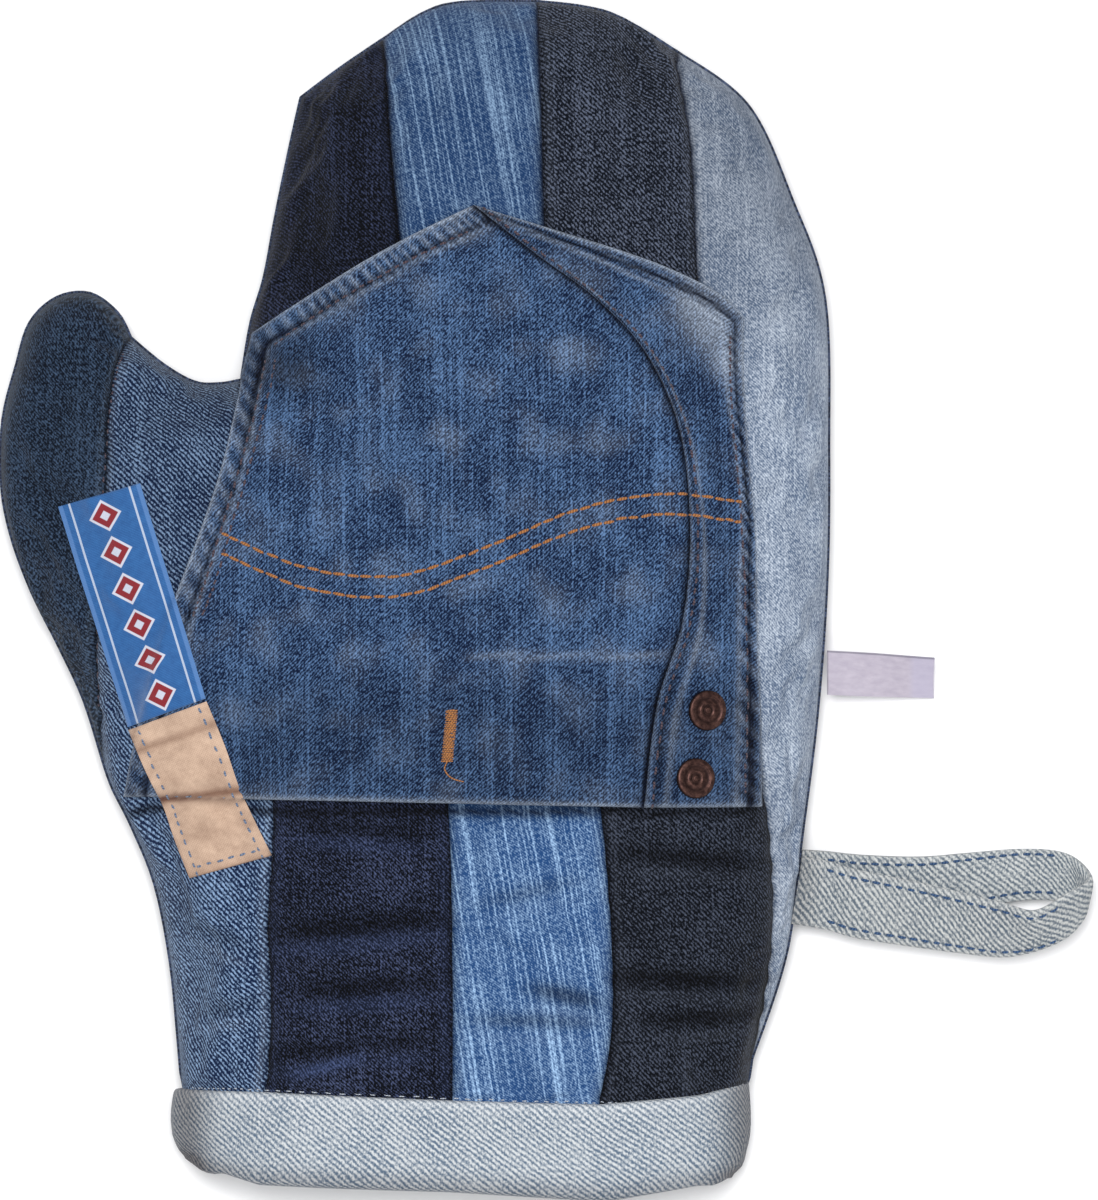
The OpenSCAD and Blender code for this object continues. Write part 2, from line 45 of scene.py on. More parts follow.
# Seams and outline of the patchwork in millimetres, the same points as the design has.
# Rows: 0 is the cuff's folded edge, 2 the binding's upper edge, 8 the thumb's foot,
# 20 the crotch, 27 the fingertips.
leftCuff = [[-92.5, -143.5], [-95.5, -136], [-95, -127]]
leftSide = [[-95, -127], [-96, -114], [-98, -94], [-102, -74], [-108, -59], [-113, -49],
            [-115.5, -42]]
thumbOuter = [[-115.5, -42], [-120.5, -26], [-127, -12], [-134, 2], [-139.5, 17], [-142, 31],
              [-141.5, 47], [-138, 61], [-134.5, 72], [-127.5, 78.5], [-119, 79.5],
              [-112, 74.5], [-108.5, 68]]
thumbSeam = [[-115.5, -42], [-116.5, -33], [-117.5, -24], [-117.5, -14], [-116.5, 0],
             [-115.5, 12], [-114.5, 24], [-114, 36], [-113.5, 46], [-112.5, 54],
             [-111.5, 60], [-110, 64], [-108.5, 68]]
crotch = [[-108.5, 68], [-100, 61], [-92, 56.5], [-85.5, 56], [-79.5, 57]]
sideSeamCuff = [[-75, -148.5], [-73.5, -138], [-73, -127]]
sideSeam = [[-73, -127], [-72, -112], [-72, -97], [-72.5, -84], [-71.5, -69], [-71, -54],
            [-72, -38], [-73, -22], [-74, -4], [-75, 14], [-77, 34], [-79.5, 57]]
handLeft = [[-79.5, 57], [-77, 72], [-73.5, 84], [-70.5, 100], [-67, 117], [-64, 130.5]]
navySeamCuff = [[-25, -150], [-24.5, -140], [-24.5, -129]]
navySeam = [[-24.5, -129], [-24.5, -94], [-25.5, -54], [-29, -8], [-34, 40], [-38, 88],
            [-41, 120], [-43, 145.5]]
blueSeamCuff = [[15.5, -152.5], [14, -142], [13.5, -130]]
blueSeam = [[13.5, -130], [17, -106], [15, -66], [8.5, -14], [3, 40], [-0.5, 92], [-1.5, 124],
            [-2.5, 155.5]]
rightCuff = [[49.5, -147.5], [52.5, -138], [52, -127]]
rightFoot = [[52, -127], [53, -119.5]]
paleSeam = [[53, -119.5], [59, -92], [58.5, -62], [52.5, -28], [48, 8], [43.5, 48], [39, 84],
            [37.5, 116], [33.5, 142.5]]
rightSide = [[53, -119.5], [62, -92], [66, -62], [70, -30], [72.5, 4], [73, 38], [72, 78],
             [63.5, 104], [52, 128.5], [33.5, 142.5]]
navyTop = [[-64, 130.5], [-54, 138], [-43, 145.5]]
blueTop = [[-43, 145.5], [-27, 154.5], [-2.5, 155.5]]
charcoalTop = [[-2.5, 155.5], [16, 152.5], [33.5, 142.5]]
edges = [
    [(thumbOuter, 8, 20)],
    [(leftCuff, 0, 2), (leftSide, 2, 8), (thumbSeam, 8, 20)],
    [(sideSeamCuff, 0, 2), (sideSeam, 2, 20), (handLeft, 20, 27)],
    [(navySeamCuff, 0, 2), (navySeam, 2, 27)],
    [(blueSeamCuff, 0, 2), (blueSeam, 2, 27)],
    [(rightCuff, 0, 2), (rightFoot, 2, 3), (paleSeam, 3, 27)],
    [(rightSide, 3, 27)],
]
# Each panel: first row, last row, curve along its far end, first row of its bend
panels = [
    (8, 20, None, 0), (0, 20, crotch, 12), (0, 27, navyTop, 18), (0, 27, blueTop, 18),
    (0, 27, charcoalTop, 18), (3, 27, None, 0),
]
# Rows between which each panel's left and right edges are seams, not the outline
seamRows = [(None, (8, 20)), ((8, 20), (0, 20)), ((0, 20), (0, 27)), ((0, 27), (0, 27)),
            ((0, 27), (3, 27)), ((3, 27), None)]

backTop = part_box("back_panel")[1][2] / mm
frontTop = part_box("front_blue_panel")[1][2] / mm
mitt = {
    "seamHeight": backTop + 0.1,
    "crown": frontTop - backTop - 0.2,
    "frontRound": 50,      # distance from the seam over which the front rounds over
    "backRound": 26,
    "cuffLift": 2.5,       # how far the back lifts over the binding
    "cloth": 1.1,
    "waddingDepth": 1.2,   # how deep under the outer face it starts
    "wadding": 3.8,
    "liningDepth": 5.1,
    "lining": 0.9,
    "wall": 6.0,           # shell, wadding and lining together
}


# Curves, and the rounded surface between the side seams
def splineAt(points, t):
    p = np.asarray(points, float)
    last = len(p) - 1
    s = np.clip(np.asarray(t, float), 0, 1) * last
    i = np.minimum(s.astype(int), last - 1)
    f = (s - i).reshape(s.shape + (1,) * (p.ndim - 1))
    a, b, c, d = p[np.maximum(i - 1, 0)], p[i], p[i + 1], p[np.minimum(i + 2, last)]
    return 0.5 * (2 * b + (c - a) * f + (2 * a - 5 * b + 4 * c - d) * f ** 2
                  + (3 * b - a - 3 * c + d) * f ** 3)


def smoothStep(x):
    t = np.clip(x, 0, 1)
    return t * t * (3 - 2 * t)


def edgeAt(k, rows):
    rows = np.asarray(rows, float)
    out = np.zeros(rows.shape + (2,))
    for curve, first, last in edges[k]:
        on = (rows >= first) & (rows <= last)
        out[on] = splineAt(curve, (rows[on] - first) / (last - first))
    return out


def panelAt(k, u, rows):
    _, last, end, bend = panels[k]
    left, right = edgeAt(k, rows)[:, None], edgeAt(k + 1, rows)[:, None]
    flat = left + (right - left) * u[None, :, None]
    if end is None:
        return flat
    ends = np.asarray(end, float)
    away = splineAt(end, u) - (ends[0] + (ends[-1] - ends[0]) * u[:, None])
    return flat + smoothStep((rows - bend) / (last - bend))[:, None, None] * away[None]


def outline():
    step = 0.25
    u = np.arange(0, 1, 0.125)
    return np.vstack([
        [[-92.5, -215]], edgeAt(1, np.arange(0, 8, step)), edgeAt(0, np.arange(8, 20, step)),
        splineAt(crotch, u), edgeAt(2, np.arange(20, 27, step)), splineAt(navyTop, u),
        splineAt(blueTop, u), splineAt(charcoalTop, u), edgeAt(6, np.arange(27, 3, -step)),
        edgeAt(5, np.arange(3, -0.1, -step)), [[49.5, -215]]])


rim = outline()


def seamDistance(points):      # smooth distance from the side seam, negative outside
    p = points.reshape(-1, 2)
    a, b = rim[:-1], rim[1:]
    length = np.linalg.norm(b - a, axis=1)
    t = (b - a) / length[:, None]
    out = np.empty(len(p))
    for i in range(0, len(p), 4000):
        q = p[i:i + 4000, None, :]
        v = q - a[None]
        s = (v * t).sum(-1)
        e = length - s
        d2 = np.maximum((v * v).sum(-1) - s * s, 1e-6)
        total = ((s / np.sqrt(d2 + s * s) + e / np.sqrt(d2 + e * e)) / d2).sum(1)
        crosses = (a[:, 1] > q[..., 1]) != (b[:, 1] > q[..., 1])
        rise = np.where(b[:, 1] == a[:, 1], 1, b[:, 1] - a[:, 1])
        at = a[:, 0] + (q[..., 1] - a[:, 1]) / rise * (b[:, 0] - a[:, 0])
        inside = (crosses & (q[..., 0] < at)).sum(1) % 2 == 1
        out[i:i + 4000] = np.sqrt(2 / total) * np.where(inside, 1, -1)
    return out.reshape(points.shape[:-1])


def unit(v):
    return v / np.maximum(np.linalg.norm(v, axis=-1, keepdims=True), 1e-9)


def skin(flat, side):          # points of the outer face, their normals and seam distances
    h = 0.25
    d = np.maximum(seamDistance(flat), 0)
    gx = (seamDistance(flat + [h, 0]) - seamDistance(flat - [h, 0])) / (2 * h)
    gy = (seamDistance(flat + [0, h]) - seamDistance(flat - [0, h])) / (2 * h)
    lift = mitt["cuffLift"] * smoothStep((-114 - flat[..., 1]) / 12)
    depth = mitt["crown"] if side > 0 else mitt["seamHeight"] - 0.1 - lift
    reach = mitt["frontRound"] if side > 0 else mitt["backRound"]
    t = np.clip(d / reach, 0.0004, 1)
    rounded = np.sqrt(1 - (1 - t) ** 2)
    slope = depth / reach * (1 - t) / rounded
    z = mitt["seamHeight"] + side * (0.1 + depth * rounded)
    n = unit(np.stack([-gx * slope, -gy * slope, np.ones_like(d)], -1)) * [1, 1, side]
    return np.concatenate([flat, z[..., None]], -1), n, d


def along(values, axis):       # running length of a grid of points along one axis
    step = np.linalg.norm(np.diff(values, axis=axis), axis=-1)
    pad = [(0, 0), (0, 0)]
    pad[axis] = (1, 0)
    return np.cumsum(np.pad(step, pad), axis=axis)


def runOf(line):               # running length along one line of points
    steps = np.linalg.norm(np.diff(line, axis=0), axis=1)
    return np.concatenate([[0], np.cumsum(steps)])


# Slow waves of the cloth, the same in every run
waveRng = np.random.default_rng(11)
waves = [(waveRng.uniform(12, 42), waveRng.uniform(0, np.pi), waveRng.uniform(0, 6.28))
         for _ in range(26)]


def ripple(flat, shift=0.0):
    out = np.zeros(flat.shape[:-1])
    for length, turn, phase in waves:
        s = flat[..., 0] * np.cos(turn) + flat[..., 1] * np.sin(turn)
        out += np.sin(6.283 * s / length + phase + shift) * length / 160
    return out / 2.2


def foldField(flat, folds):    # each fold: x, y of both ends, half width, depth
    out = np.zeros(flat.shape[:-1])
    for x0, y0, x1, y1, wide, deep in folds:
        a, b = np.array([x0, y0]), np.array([x1, y1])
        t = np.clip(((flat - a) * (b - a)).sum(-1) / ((b - a) ** 2).sum(), 0, 1)
        dist = np.linalg.norm(flat - a - t[..., None] * (b - a), axis=-1)
        fade = np.sin(np.pi * np.clip(t * 0.9 + 0.05, 0, 1)) ** 0.5
        out += deep * np.exp(-(dist / wide) ** 2) * fade
    return out


# Making and finishing meshes
def addMesh(name, verts, faces, uv=None, values=None):
    mesh = bpy.data.meshes.new(name)
    mesh.from_pydata((np.asarray(verts) * mm).tolist(), [], faces)
    if uv is not None:
        layer = mesh.uv_layers.new(name="cloth")
        at = np.empty(len(mesh.loops), int)
        mesh.loops.foreach_get("vertex_index", at)
        layer.data.foreach_set("uv", (np.asarray(uv)[at] * mm).ravel())
    for key, data in (values or {}).items():
        mesh.attributes.new(key, "FLOAT", "POINT").data.foreach_set(
            "value", np.asarray(data, float).ravel())
    mesh.validate()
    ob = bpy.data.objects.new(name, mesh)
    bpy.context.scene.collection.objects.link(ob)
    return ob


def gridFaces(rows, cols, ring=False, flip=False):
    out = []
    for r in range(rows - 1):
        for c in range(cols if ring else cols - 1):
            b = (c + 1) % cols
            quad = [r * cols + c, r * cols + b, (r + 1) * cols + b, (r + 1) * cols + c]
            out.append(quad[::-1] if flip else quad)
    return out


def select(ob):
    bpy.ops.object.select_all(action="DESELECT")
    ob.select_set(True)
    bpy.context.view_layer.objects.active = ob


def applyModifier(ob, kind, **settings):
    select(ob)
    mod = ob.modifiers.new(kind.title(), kind)
    for key, value in settings.items():
        setattr(mod, key, value)
    bpy.ops.object.modifier_apply(modifier=mod.name)


def weld(ob, distance=0.0, outward=True):      # joins points closer than distance, in mm
    select(ob)
    bpy.ops.object.mode_set(mode="EDIT")
    bpy.ops.mesh.select_all(action="SELECT")
    if distance:
        bpy.ops.mesh.remove_doubles(threshold=distance * mm)
    if outward:
        bpy.ops.mesh.normals_make_consistent(inside=False)
    bpy.ops.object.mode_set(mode="OBJECT")


def thicken(ob, thickness, offset=-1.0):
    applyModifier(ob, "SOLIDIFY", thickness=thickness * mm, offset=offset,
                  use_even_offset=False)
    shade(ob)


def shade(ob, angle=0.9):
    select(ob)
    bpy.ops.object.shade_smooth_by_angle(angle=angle)


def treeOf(pieces):            # what a thread or a label lies on
    verts, polys = [], []
    for ob in pieces:
        start = len(verts)
        verts += [tuple(v.co) for v in ob.data.vertices]
        polys += [[start + i for i in p.vertices] for p in ob.data.polygons]
    return BVHTree.FromPolygons(verts, polys)


def dropOn(tree, flat):        # where straight down from each point meets the cloth
    shape = flat.shape[:-1]
    spots, normals = np.zeros(shape + (3,)), np.zeros(shape + (3,))
    for i in np.ndindex(shape):
        x, y = flat[i] * mm
        hit, n, _, _ = tree.ray_cast(Vector((x, y, 0.2)), Vector((0, 0, -1)))
        if hit is None:
            hit, n = Vector((x, y, mitt["seamHeight"] * mm)), Vector((0, 0, 1))
        spots[i], normals[i] = np.array(hit) / mm, n if n.z > 0 else -n
    return spots, normals


def finishPiece(ob, body, slot, material, *nodes):
    ob.data.materials.clear()
    ob.data.materials.append(material)
    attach(ob, body)
    if nodes:
        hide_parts(*nodes)
    return ob


# Shaders
def newGroup(name, inputs, outputs):
    group = bpy.data.node_groups.new(name, "ShaderNodeTree")
    for key, kind, value in inputs:
        socket = group.interface.new_socket(key, in_out="INPUT", socket_type=kind)
        socket.default_value = value
    for key, kind in outputs:
        group.interface.new_socket(key, in_out="OUTPUT", socket_type=kind)
    return group


class Nodes:                   # short hands for adding and linking nodes of one tree
    def __init__(self, tree):
        self.tree = tree

    def add(self, kind, **settings):
        prefix = "Node" if kind in ("GroupInput", "GroupOutput") else "ShaderNode"
        node = self.tree.nodes.new(prefix + kind)
        for key, value in settings.items():
            setattr(node, key, value)
        return node

    def put(self, value, socket):
        if hasattr(value, "is_output"):
            self.tree.links.new(value, socket)
        elif value is not None:
            socket.default_value = value

    def math(self, operation, a, b=None, c=None, clamp=False):
        node = self.add("Math", operation=operation, use_clamp=clamp)
        for value, socket in zip((a, b, c), node.inputs):
            self.put(value, socket)
        return node.outputs[0]

    def mix(self, factor, a, b, blend="MIX"):
        node = self.add("Mix", data_type="RGBA", blend_type=blend)
        self.put(factor, node.inputs[0])
        self.put(a, node.inputs[6])
        self.put(b, node.inputs[7])
        return node.outputs[2]

    def ramp(self, value, low, high, outLow=0.0, outHigh=1.0):
        node = self.add("MapRange", interpolation_type="SMOOTHSTEP")
        for item, socket in zip((value, low, high, outLow, outHigh), node.inputs):
            self.put(item, socket)
        return node.outputs[0]

    def noise(self, vector, scale, detail=2.0, rough=0.5):
        node = self.add("TexNoise")
        self.put(vector, node.inputs["Vector"])
        self.put(scale, node.inputs["Scale"])
        self.put(detail, node.inputs["Detail"])
        self.put(rough, node.inputs["Roughness"])
        return node.outputs[0]

    def stretch(self, vector, scale, turn=0.0):
        node = self.add("Mapping")
        self.put(vector, node.inputs["Vector"])
        node.inputs["Rotation"].default_value = (0, 0, turn)
        node.inputs["Scale"].default_value = scale
        return node.outputs[0]


def buildWeave():              # twill cloth seen from its face; position in millimetres
    group = newGroup("twillCloth", [
        ("Position", "NodeSocketVector", (0, 0, 0)), ("Dark", "NodeSocketColor", (0, 0, 0, 1)),
        ("Light", "NodeSocketColor", (1, 1, 1, 1)), ("Pitch", "NodeSocketFloat", 1.0),
        ("Slope", "NodeSocketFloat", 1.0), ("Twill", "NodeSocketFloat", 0.5),
        ("Speckle", "NodeSocketFloat", 0.5), ("Streak", "NodeSocketFloat", 0.3),
        ("Cloud", "NodeSocketFloat", 0.3), ("Wear", "NodeSocketFloat", 0.0),
        ("Worn", "NodeSocketColor", (0.6, 0.65, 0.7, 1)), ("Bias", "NodeSocketFloat", 0.4)],
        [("Color", "NodeSocketColor"), ("Height", "NodeSocketFloat"),
         ("Rough", "NodeSocketFloat")])
    n = Nodes(group)
    given, out = n.add("GroupInput").outputs, n.add("GroupOutput").inputs
    spot = n.add("SeparateXYZ")
    n.put(given["Position"], spot.inputs[0])
    x, y = spot.outputs[0], spot.outputs[1]
    wobble = n.math("MULTIPLY", n.noise(n.stretch(given["Position"], (0.25, 0.25, 0.25)), 1.0), 1.6)
    across = n.math("ADD", n.math("MULTIPLY", y, given["Slope"]), n.math("ADD", x, wobble))
    turn = n.math("DIVIDE", n.math("MULTIPLY", across, 6.2832), given["Pitch"])
    lines = n.math("MULTIPLY_ADD", n.math("SINE", turn), 0.5, 0.5)
    grains = n.noise(n.stretch(given["Position"], (1.7, 1.1, 1.0)), 1.0, 2.0, 0.7)
    specks = n.ramp(grains, 0.33, 0.67)
    streaks = n.ramp(n.noise(n.stretch(given["Position"], (1.25, 0.012, 1.0)), 1.0, 2.0, 0.6),
                     0.46, 0.7)
    streaks = n.math("MULTIPLY", streaks, n.math("MULTIPLY_ADD", specks, 0.5, 0.7))
    lines = n.math("MULTIPLY", lines, n.math("MULTIPLY_ADD", specks, 0.7, 0.55))
    clouds = n.ramp(n.noise(n.stretch(given["Position"], (0.06, 0.045, 0.05)), 1.0, 5.0, 0.78),
                    0.34, 0.68)
    tone = given["Bias"]
    for mask, key in ((lines, "Twill"), (specks, "Speckle"), (streaks, "Streak"),
                      (clouds, "Cloud")):
        tone = n.math("MULTIPLY_ADD", n.math("SUBTRACT", mask, 0.5), given[key], tone)
    tone = n.math("ADD", tone, 0.0, clamp=True)
    cloth = n.mix(tone, given["Dark"], given["Light"])
    worn = n.math("MULTIPLY", given["Wear"], n.math("MULTIPLY_ADD", lines, 0.4,
                  n.math("MULTIPLY_ADD", specks, 0.45, 0.25)), clamp=True)
    n.put(n.mix(worn, cloth, given["Worn"]), out["Color"])
    n.put(n.math("MULTIPLY_ADD", lines, 0.6, n.math("MULTIPLY", specks, 0.4)), out["Height"])
    n.put(n.math("MULTIPLY_ADD", tone, -0.08, 0.92), out["Rough"])
    return group


def buildThread():             # twisted thread; position runs along it in millimetres
    group = newGroup("twistedThread", [
        ("Position", "NodeSocketVector", (0, 0, 0)), ("Dark", "NodeSocketColor", (0, 0, 0, 1)),
        ("Light", "NodeSocketColor", (1, 1, 1, 1)), ("Patch", "NodeSocketFloat", 0.3)],
        [("Color", "NodeSocketColor"), ("Height", "NodeSocketFloat")])
    n = Nodes(group)
    given, out = n.add("GroupInput").outputs, n.add("GroupOutput").inputs
    spot = n.add("SeparateXYZ")
    n.put(given["Position"], spot.inputs[0])
    turn = n.math("ADD", n.math("MULTIPLY", spot.outputs[0], 9.0),
                  n.math("MULTIPLY", spot.outputs[1], 7.0))
    ply = n.math("MULTIPLY_ADD", n.math("SINE", turn), 0.5, 0.5)
    fuzz = n.noise(given["Position"], 0.7, 3.0, 0.6)
    tone = n.math("ADD", n.math("MULTIPLY", ply, 0.55),
                  n.math("MULTIPLY", n.math("SUBTRACT", fuzz, 0.3), given["Patch"]), clamp=True)
    n.put(n.mix(tone, given["Dark"], given["Light"]), out["Color"])
    n.put(ply, out["Height"])
    return group


weave, thread = buildWeave(), buildThread()


def rgb(r, g, b):              # a colour as a screen shows it, made linear
    lin = [c / 255 / 12.92 if c <= 10 else ((c / 255 + 0.055) / 1.055) ** 2.4 for c in (r, g, b)]
    return (*lin, 1.0)


def newMaterial(name, rough=0.9, sheen=0.0, sheenTint=(1, 1, 1, 1), metallic=0.0):
    mat = bpy.data.materials.new(name)
    mat.use_nodes = True
    n = Nodes(mat.node_tree)
    shader = mat.node_tree.nodes["Principled BSDF"]
    shader.inputs["Roughness"].default_value = rough
    shader.inputs["Metallic"].default_value = metallic
    shader.inputs["Sheen Weight"].default_value = sheen
    shader.inputs["Sheen Tint"].default_value = sheenTint
    shader.inputs["Specular IOR Level"].default_value = 0.12
    return mat, n, shader


def clothPlace(n):             # the piece's place in its flat cloth, in millimetres
    coordinates = n.add("TexCoord")
    scaled = n.add("VectorMath", operation="SCALE")
    n.put(coordinates.outputs["UV"], scaled.inputs[0])
    scaled.inputs["Scale"].default_value = 1000.0
    return scaled.outputs[0]


def bump(n, shader, height, distance, strength=0.6):
    node = n.add("Bump")
    node.inputs["Strength"].default_value = strength
    node.inputs["Distance"].default_value = distance * mm
    n.put(height, node.inputs["Height"])
    n.put(node.outputs[0], shader.inputs["Normal"])


def attributeOf(n, name):
    node = n.add("Attribute", attribute_name=name)
    return node.outputs["Fac"]


def denim(name, dark, light, worn, pitch=1.0, slope=1.0, twill=0.5, speckle=0.4, streak=0.25,
          cloud=0.3, bias=0.42, wear=0.0, height=0.16, turn=0.0, shadeBy=(70, 72, 84)):
    mat, n, shader = newMaterial(name, sheen=0.03)
    node = n.add("Group", node_tree=weave)
    values = {"Position": n.stretch(clothPlace(n), (1, 1, 1), turn), "Dark": rgb(*dark),
              "Light": rgb(*light), "Worn": rgb(*worn), "Pitch": pitch, "Slope": slope,
              "Twill": twill, "Speckle": speckle, "Streak": streak, "Cloud": cloud, "Bias": bias}
    for key, value in values.items():
        n.put(value, node.inputs[key])
    if wear:
        n.put(n.math("MULTIPLY", attributeOf(n, "wear"), wear), node.inputs["Wear"])
    # painted shade in seams, creases and hollows, and dirt, laid over the cloth
    n.put(n.mix(attributeOf(n, "dirtAndShade"), node.outputs["Color"], rgb(*shadeBy), "MULTIPLY"),
          shader.inputs["Base Color"])
    n.put(node.outputs["Rough"], shader.inputs["Roughness"])
    bump(n, shader, node.outputs["Height"], height)
    return mat


def yarn(name, dark, light, patch=0.4):
    mat, n, shader = newMaterial(name, rough=0.75, sheen=0.2)
    node = n.add("Group", node_tree=thread)
    n.put(clothPlace(n), node.inputs["Position"])
    n.put(rgb(*dark), node.inputs["Dark"])
    n.put(rgb(*light), node.inputs["Light"])
    node.inputs["Patch"].default_value = patch
    n.put(node.outputs["Color"], shader.inputs["Base Color"])
    bump(n, shader, node.outputs["Height"], 0.12)
    return mat


denims = {
    "thumb": denim("thumb denim", (5, 12, 25), (60, 79, 104), (120, 134, 150), pitch=0.95,
                   twill=0.5, speckle=0.8, cloud=0.3, bias=0.38, wear=0.4),
    "side": denim("mid blue denim", (10, 26, 56), (124, 150, 182), (182, 194, 208), pitch=1.4,
                  twill=1.1, speckle=0.6, cloud=0.35, bias=0.38, wear=0.45),
    "navy": denim("navy denim", (2, 4, 12), (68, 78, 110), (66, 82, 124), pitch=1.0,
                  twill=0.6, speckle=0.65, cloud=0.3, bias=0.25, wear=0.5),
    "blue": denim("bright blue denim", (28, 62, 108), (150, 182, 216), (164, 184, 206), pitch=0.8,
                  twill=0.3, speckle=0.4, streak=0.62, cloud=0.25, bias=0.42, wear=0.3, turn=-0.17),
    "charcoal": denim("charcoal denim", (3, 7, 17), (82, 90, 108), (112, 120, 136), pitch=1.2,
                      twill=0.9, speckle=0.8, cloud=0.3, bias=0.32, wear=0.4),
    "pale": denim("pale denim", (78, 94, 118), (186, 196, 209), (208, 213, 220), pitch=0.85,
                  twill=0.4, speckle=0.5, cloud=0.35, bias=0.45, wear=0.3),
    "indigo": denim("indigo denim", (8, 12, 26), (58, 70, 98), (96, 108, 132), pitch=0.95,
                    twill=0.5, speckle=0.7, cloud=0.3, wear=0.3),
    "reverse": denim("reverse denim", (84, 101, 120), (192, 196, 199), (206, 210, 214), pitch=2.1,
                     slope=1.25, twill=0.95, speckle=0.5, streak=0.1, cloud=0.2, bias=0.58,
                     wear=0.4, height=0.25, shadeBy=(150, 142, 140)),
    "strap": denim("strap denim", (92, 104, 116), (198, 201, 200), (214, 216, 214), pitch=1.9,
                   slope=1.0, twill=0.95, speckle=0.5, streak=0.1, cloud=0.2, bias=0.56,
                   wear=0.4, height=0.25, shadeBy=(150, 142, 140)),
}


def plainWeave(name, dark, light, pitch=0.55, bias=0.5, dirtAndShade=None, height=0.1, cloud=0.9):
    mat, n, shader = newMaterial(name, sheen=0.15)
    place = clothPlace(n)
    spot = n.add("SeparateXYZ")
    n.put(place, spot.inputs[0])
    yarns = [n.math("SINE", n.math("MULTIPLY", spot.outputs[i], 6.2832 / pitch)) for i in (0, 1)]
    grid = n.math("MULTIPLY_ADD", n.math("MULTIPLY", *yarns), 0.5, 0.5)
    clouds = n.noise(n.stretch(place, (0.14, 0.14, 0.14)), 1.0, 5.0, 0.75)
    tone = n.math("ADD", n.math("MULTIPLY", grid, 0.3),
                  n.math("MULTIPLY_ADD", n.math("SUBTRACT", clouds, 0.5), cloud, bias), clamp=True)
    colour = n.mix(tone, rgb(*dark), rgb(*light))
    # painted shade and dirt over the cloth, from the mesh's attribute
    if dirtAndShade:
        colour = n.mix(attributeOf(n, "dirtAndShade"), colour, rgb(*dirtAndShade), "MULTIPLY")
    n.put(colour, shader.inputs["Base Color"])
    bump(n, shader, grid, height)
    return mat


def wovenLabelMaterial():      # blue ribbon, paler borders, white lines and plain red lozenges
    mat, n, shader = newMaterial("woven label", rough=0.6, sheen=0.25)
    place = clothPlace(n)
    spot = n.add("SeparateXYZ")
    n.put(place, spot.inputs[0])
    side = n.math("ABSOLUTE", n.math("SUBTRACT", spot.outputs[0], woven["width"] / 2))
    edge = woven["width"] / 2
    ribs = n.math("MULTIPLY_ADD", n.math("SINE", n.math("MULTIPLY", spot.outputs[1], 15.0)), 0.5, 0.5)
    mottle = n.noise(n.stretch(place, (0.5, 0.5, 0.5)), 1.0, 3.0, 0.6)
    tone = n.math("MULTIPLY_ADD", ribs, 0.35, n.math("MULTIPLY", mottle, 0.6), clamp=True)
    colour = n.mix(tone, rgb(22, 60, 112), rgb(54, 108, 166))
    border = n.ramp(side, edge - 1.3, edge - 1.0)
    colour = n.mix(n.math("MULTIPLY", border, 0.4), colour, rgb(104, 140, 190))
    line = n.math("LESS_THAN", n.math("ABSOLUTE", n.math("SUBTRACT", side, edge - 2.9)), 0.28)
    colour = n.mix(n.math("MULTIPLY", line, 0.8), colour, rgb(176, 186, 202))
    step = n.math("SUBTRACT", n.math("FRACT", n.math("DIVIDE", spot.outputs[1], woven["repeat"])), 0.5)
    alongStep = n.math("MULTIPLY", n.math("ABSOLUTE", step), woven["repeat"] / woven["lozenge"])
    lozenge = n.math("ADD", alongStep, n.math("DIVIDE", side, woven["lozenge"]))
    colour = n.mix(n.ramp(lozenge, 1.04, 0.98), colour, rgb(186, 188, 200))
    colour = n.mix(n.ramp(lozenge, 0.84, 0.78), colour, rgb(122, 34, 42))
    colour = n.mix(n.ramp(lozenge, 0.36, 0.3), colour, rgb(180, 184, 198))
    n.put(colour, shader.inputs["Base Color"])
    bump(n, shader, ribs, 0.08)
    return mat


def satinMaterial():
    mat, n, shader = newMaterial("tag satin", rough=0.38, sheen=0.3)
    place = clothPlace(n)
    spot = n.add("SeparateXYZ")
    n.put(place, spot.inputs[0])
    ribs = n.math("MULTIPLY_ADD", n.math("SINE", n.math("MULTIPLY", spot.outputs[0], 19.0)), 0.5, 0.5)
    mottle = n.noise(n.stretch(place, (0.25, 0.6, 0.5)), 1.0, 3.0, 0.6)
    tone = n.math("MULTIPLY_ADD", ribs, 0.15, mottle, clamp=True)
    colour = n.mix(tone, rgb(142, 136, 152), rgb(184, 176, 188))
    turned = n.ramp(spot.outputs[0], 21.5, 24.0)
    colour = n.mix(n.math("MULTIPLY", turned, 0.45), colour, rgb(170, 166, 190))
    hem = n.math("GREATER_THAN", spot.outputs[1], sideTag["width"] / 2 - 0.5)
    colour = n.mix(n.math("MULTIPLY", hem, 0.6), colour, rgb(92, 90, 104))
    n.put(colour, shader.inputs["Base Color"])
    bump(n, shader, ribs, 0.05)
    return mat


def copperMaterial():
    mat, n, shader = newMaterial("aged copper", rough=0.42, metallic=0.85)
    coordinates = n.add("TexCoord")
    patina = n.noise(coordinates.outputs["Object"], 900.0, 4.0, 0.6)
    colour = n.mix(n.ramp(patina, 0.35, 0.7), rgb(52, 36, 34), rgb(86, 62, 56))
    hollow = attributeOf(n, "hollow")
    colour = n.mix(n.math("MULTIPLY", hollow, 0.8), colour, rgb(34, 24, 24))
    n.put(colour, shader.inputs["Base Color"])
    n.put(n.math("MULTIPLY_ADD", patina, 0.3, 0.28), shader.inputs["Roughness"])
    bump(n, shader, patina, 0.05, 0.3)
    return mat


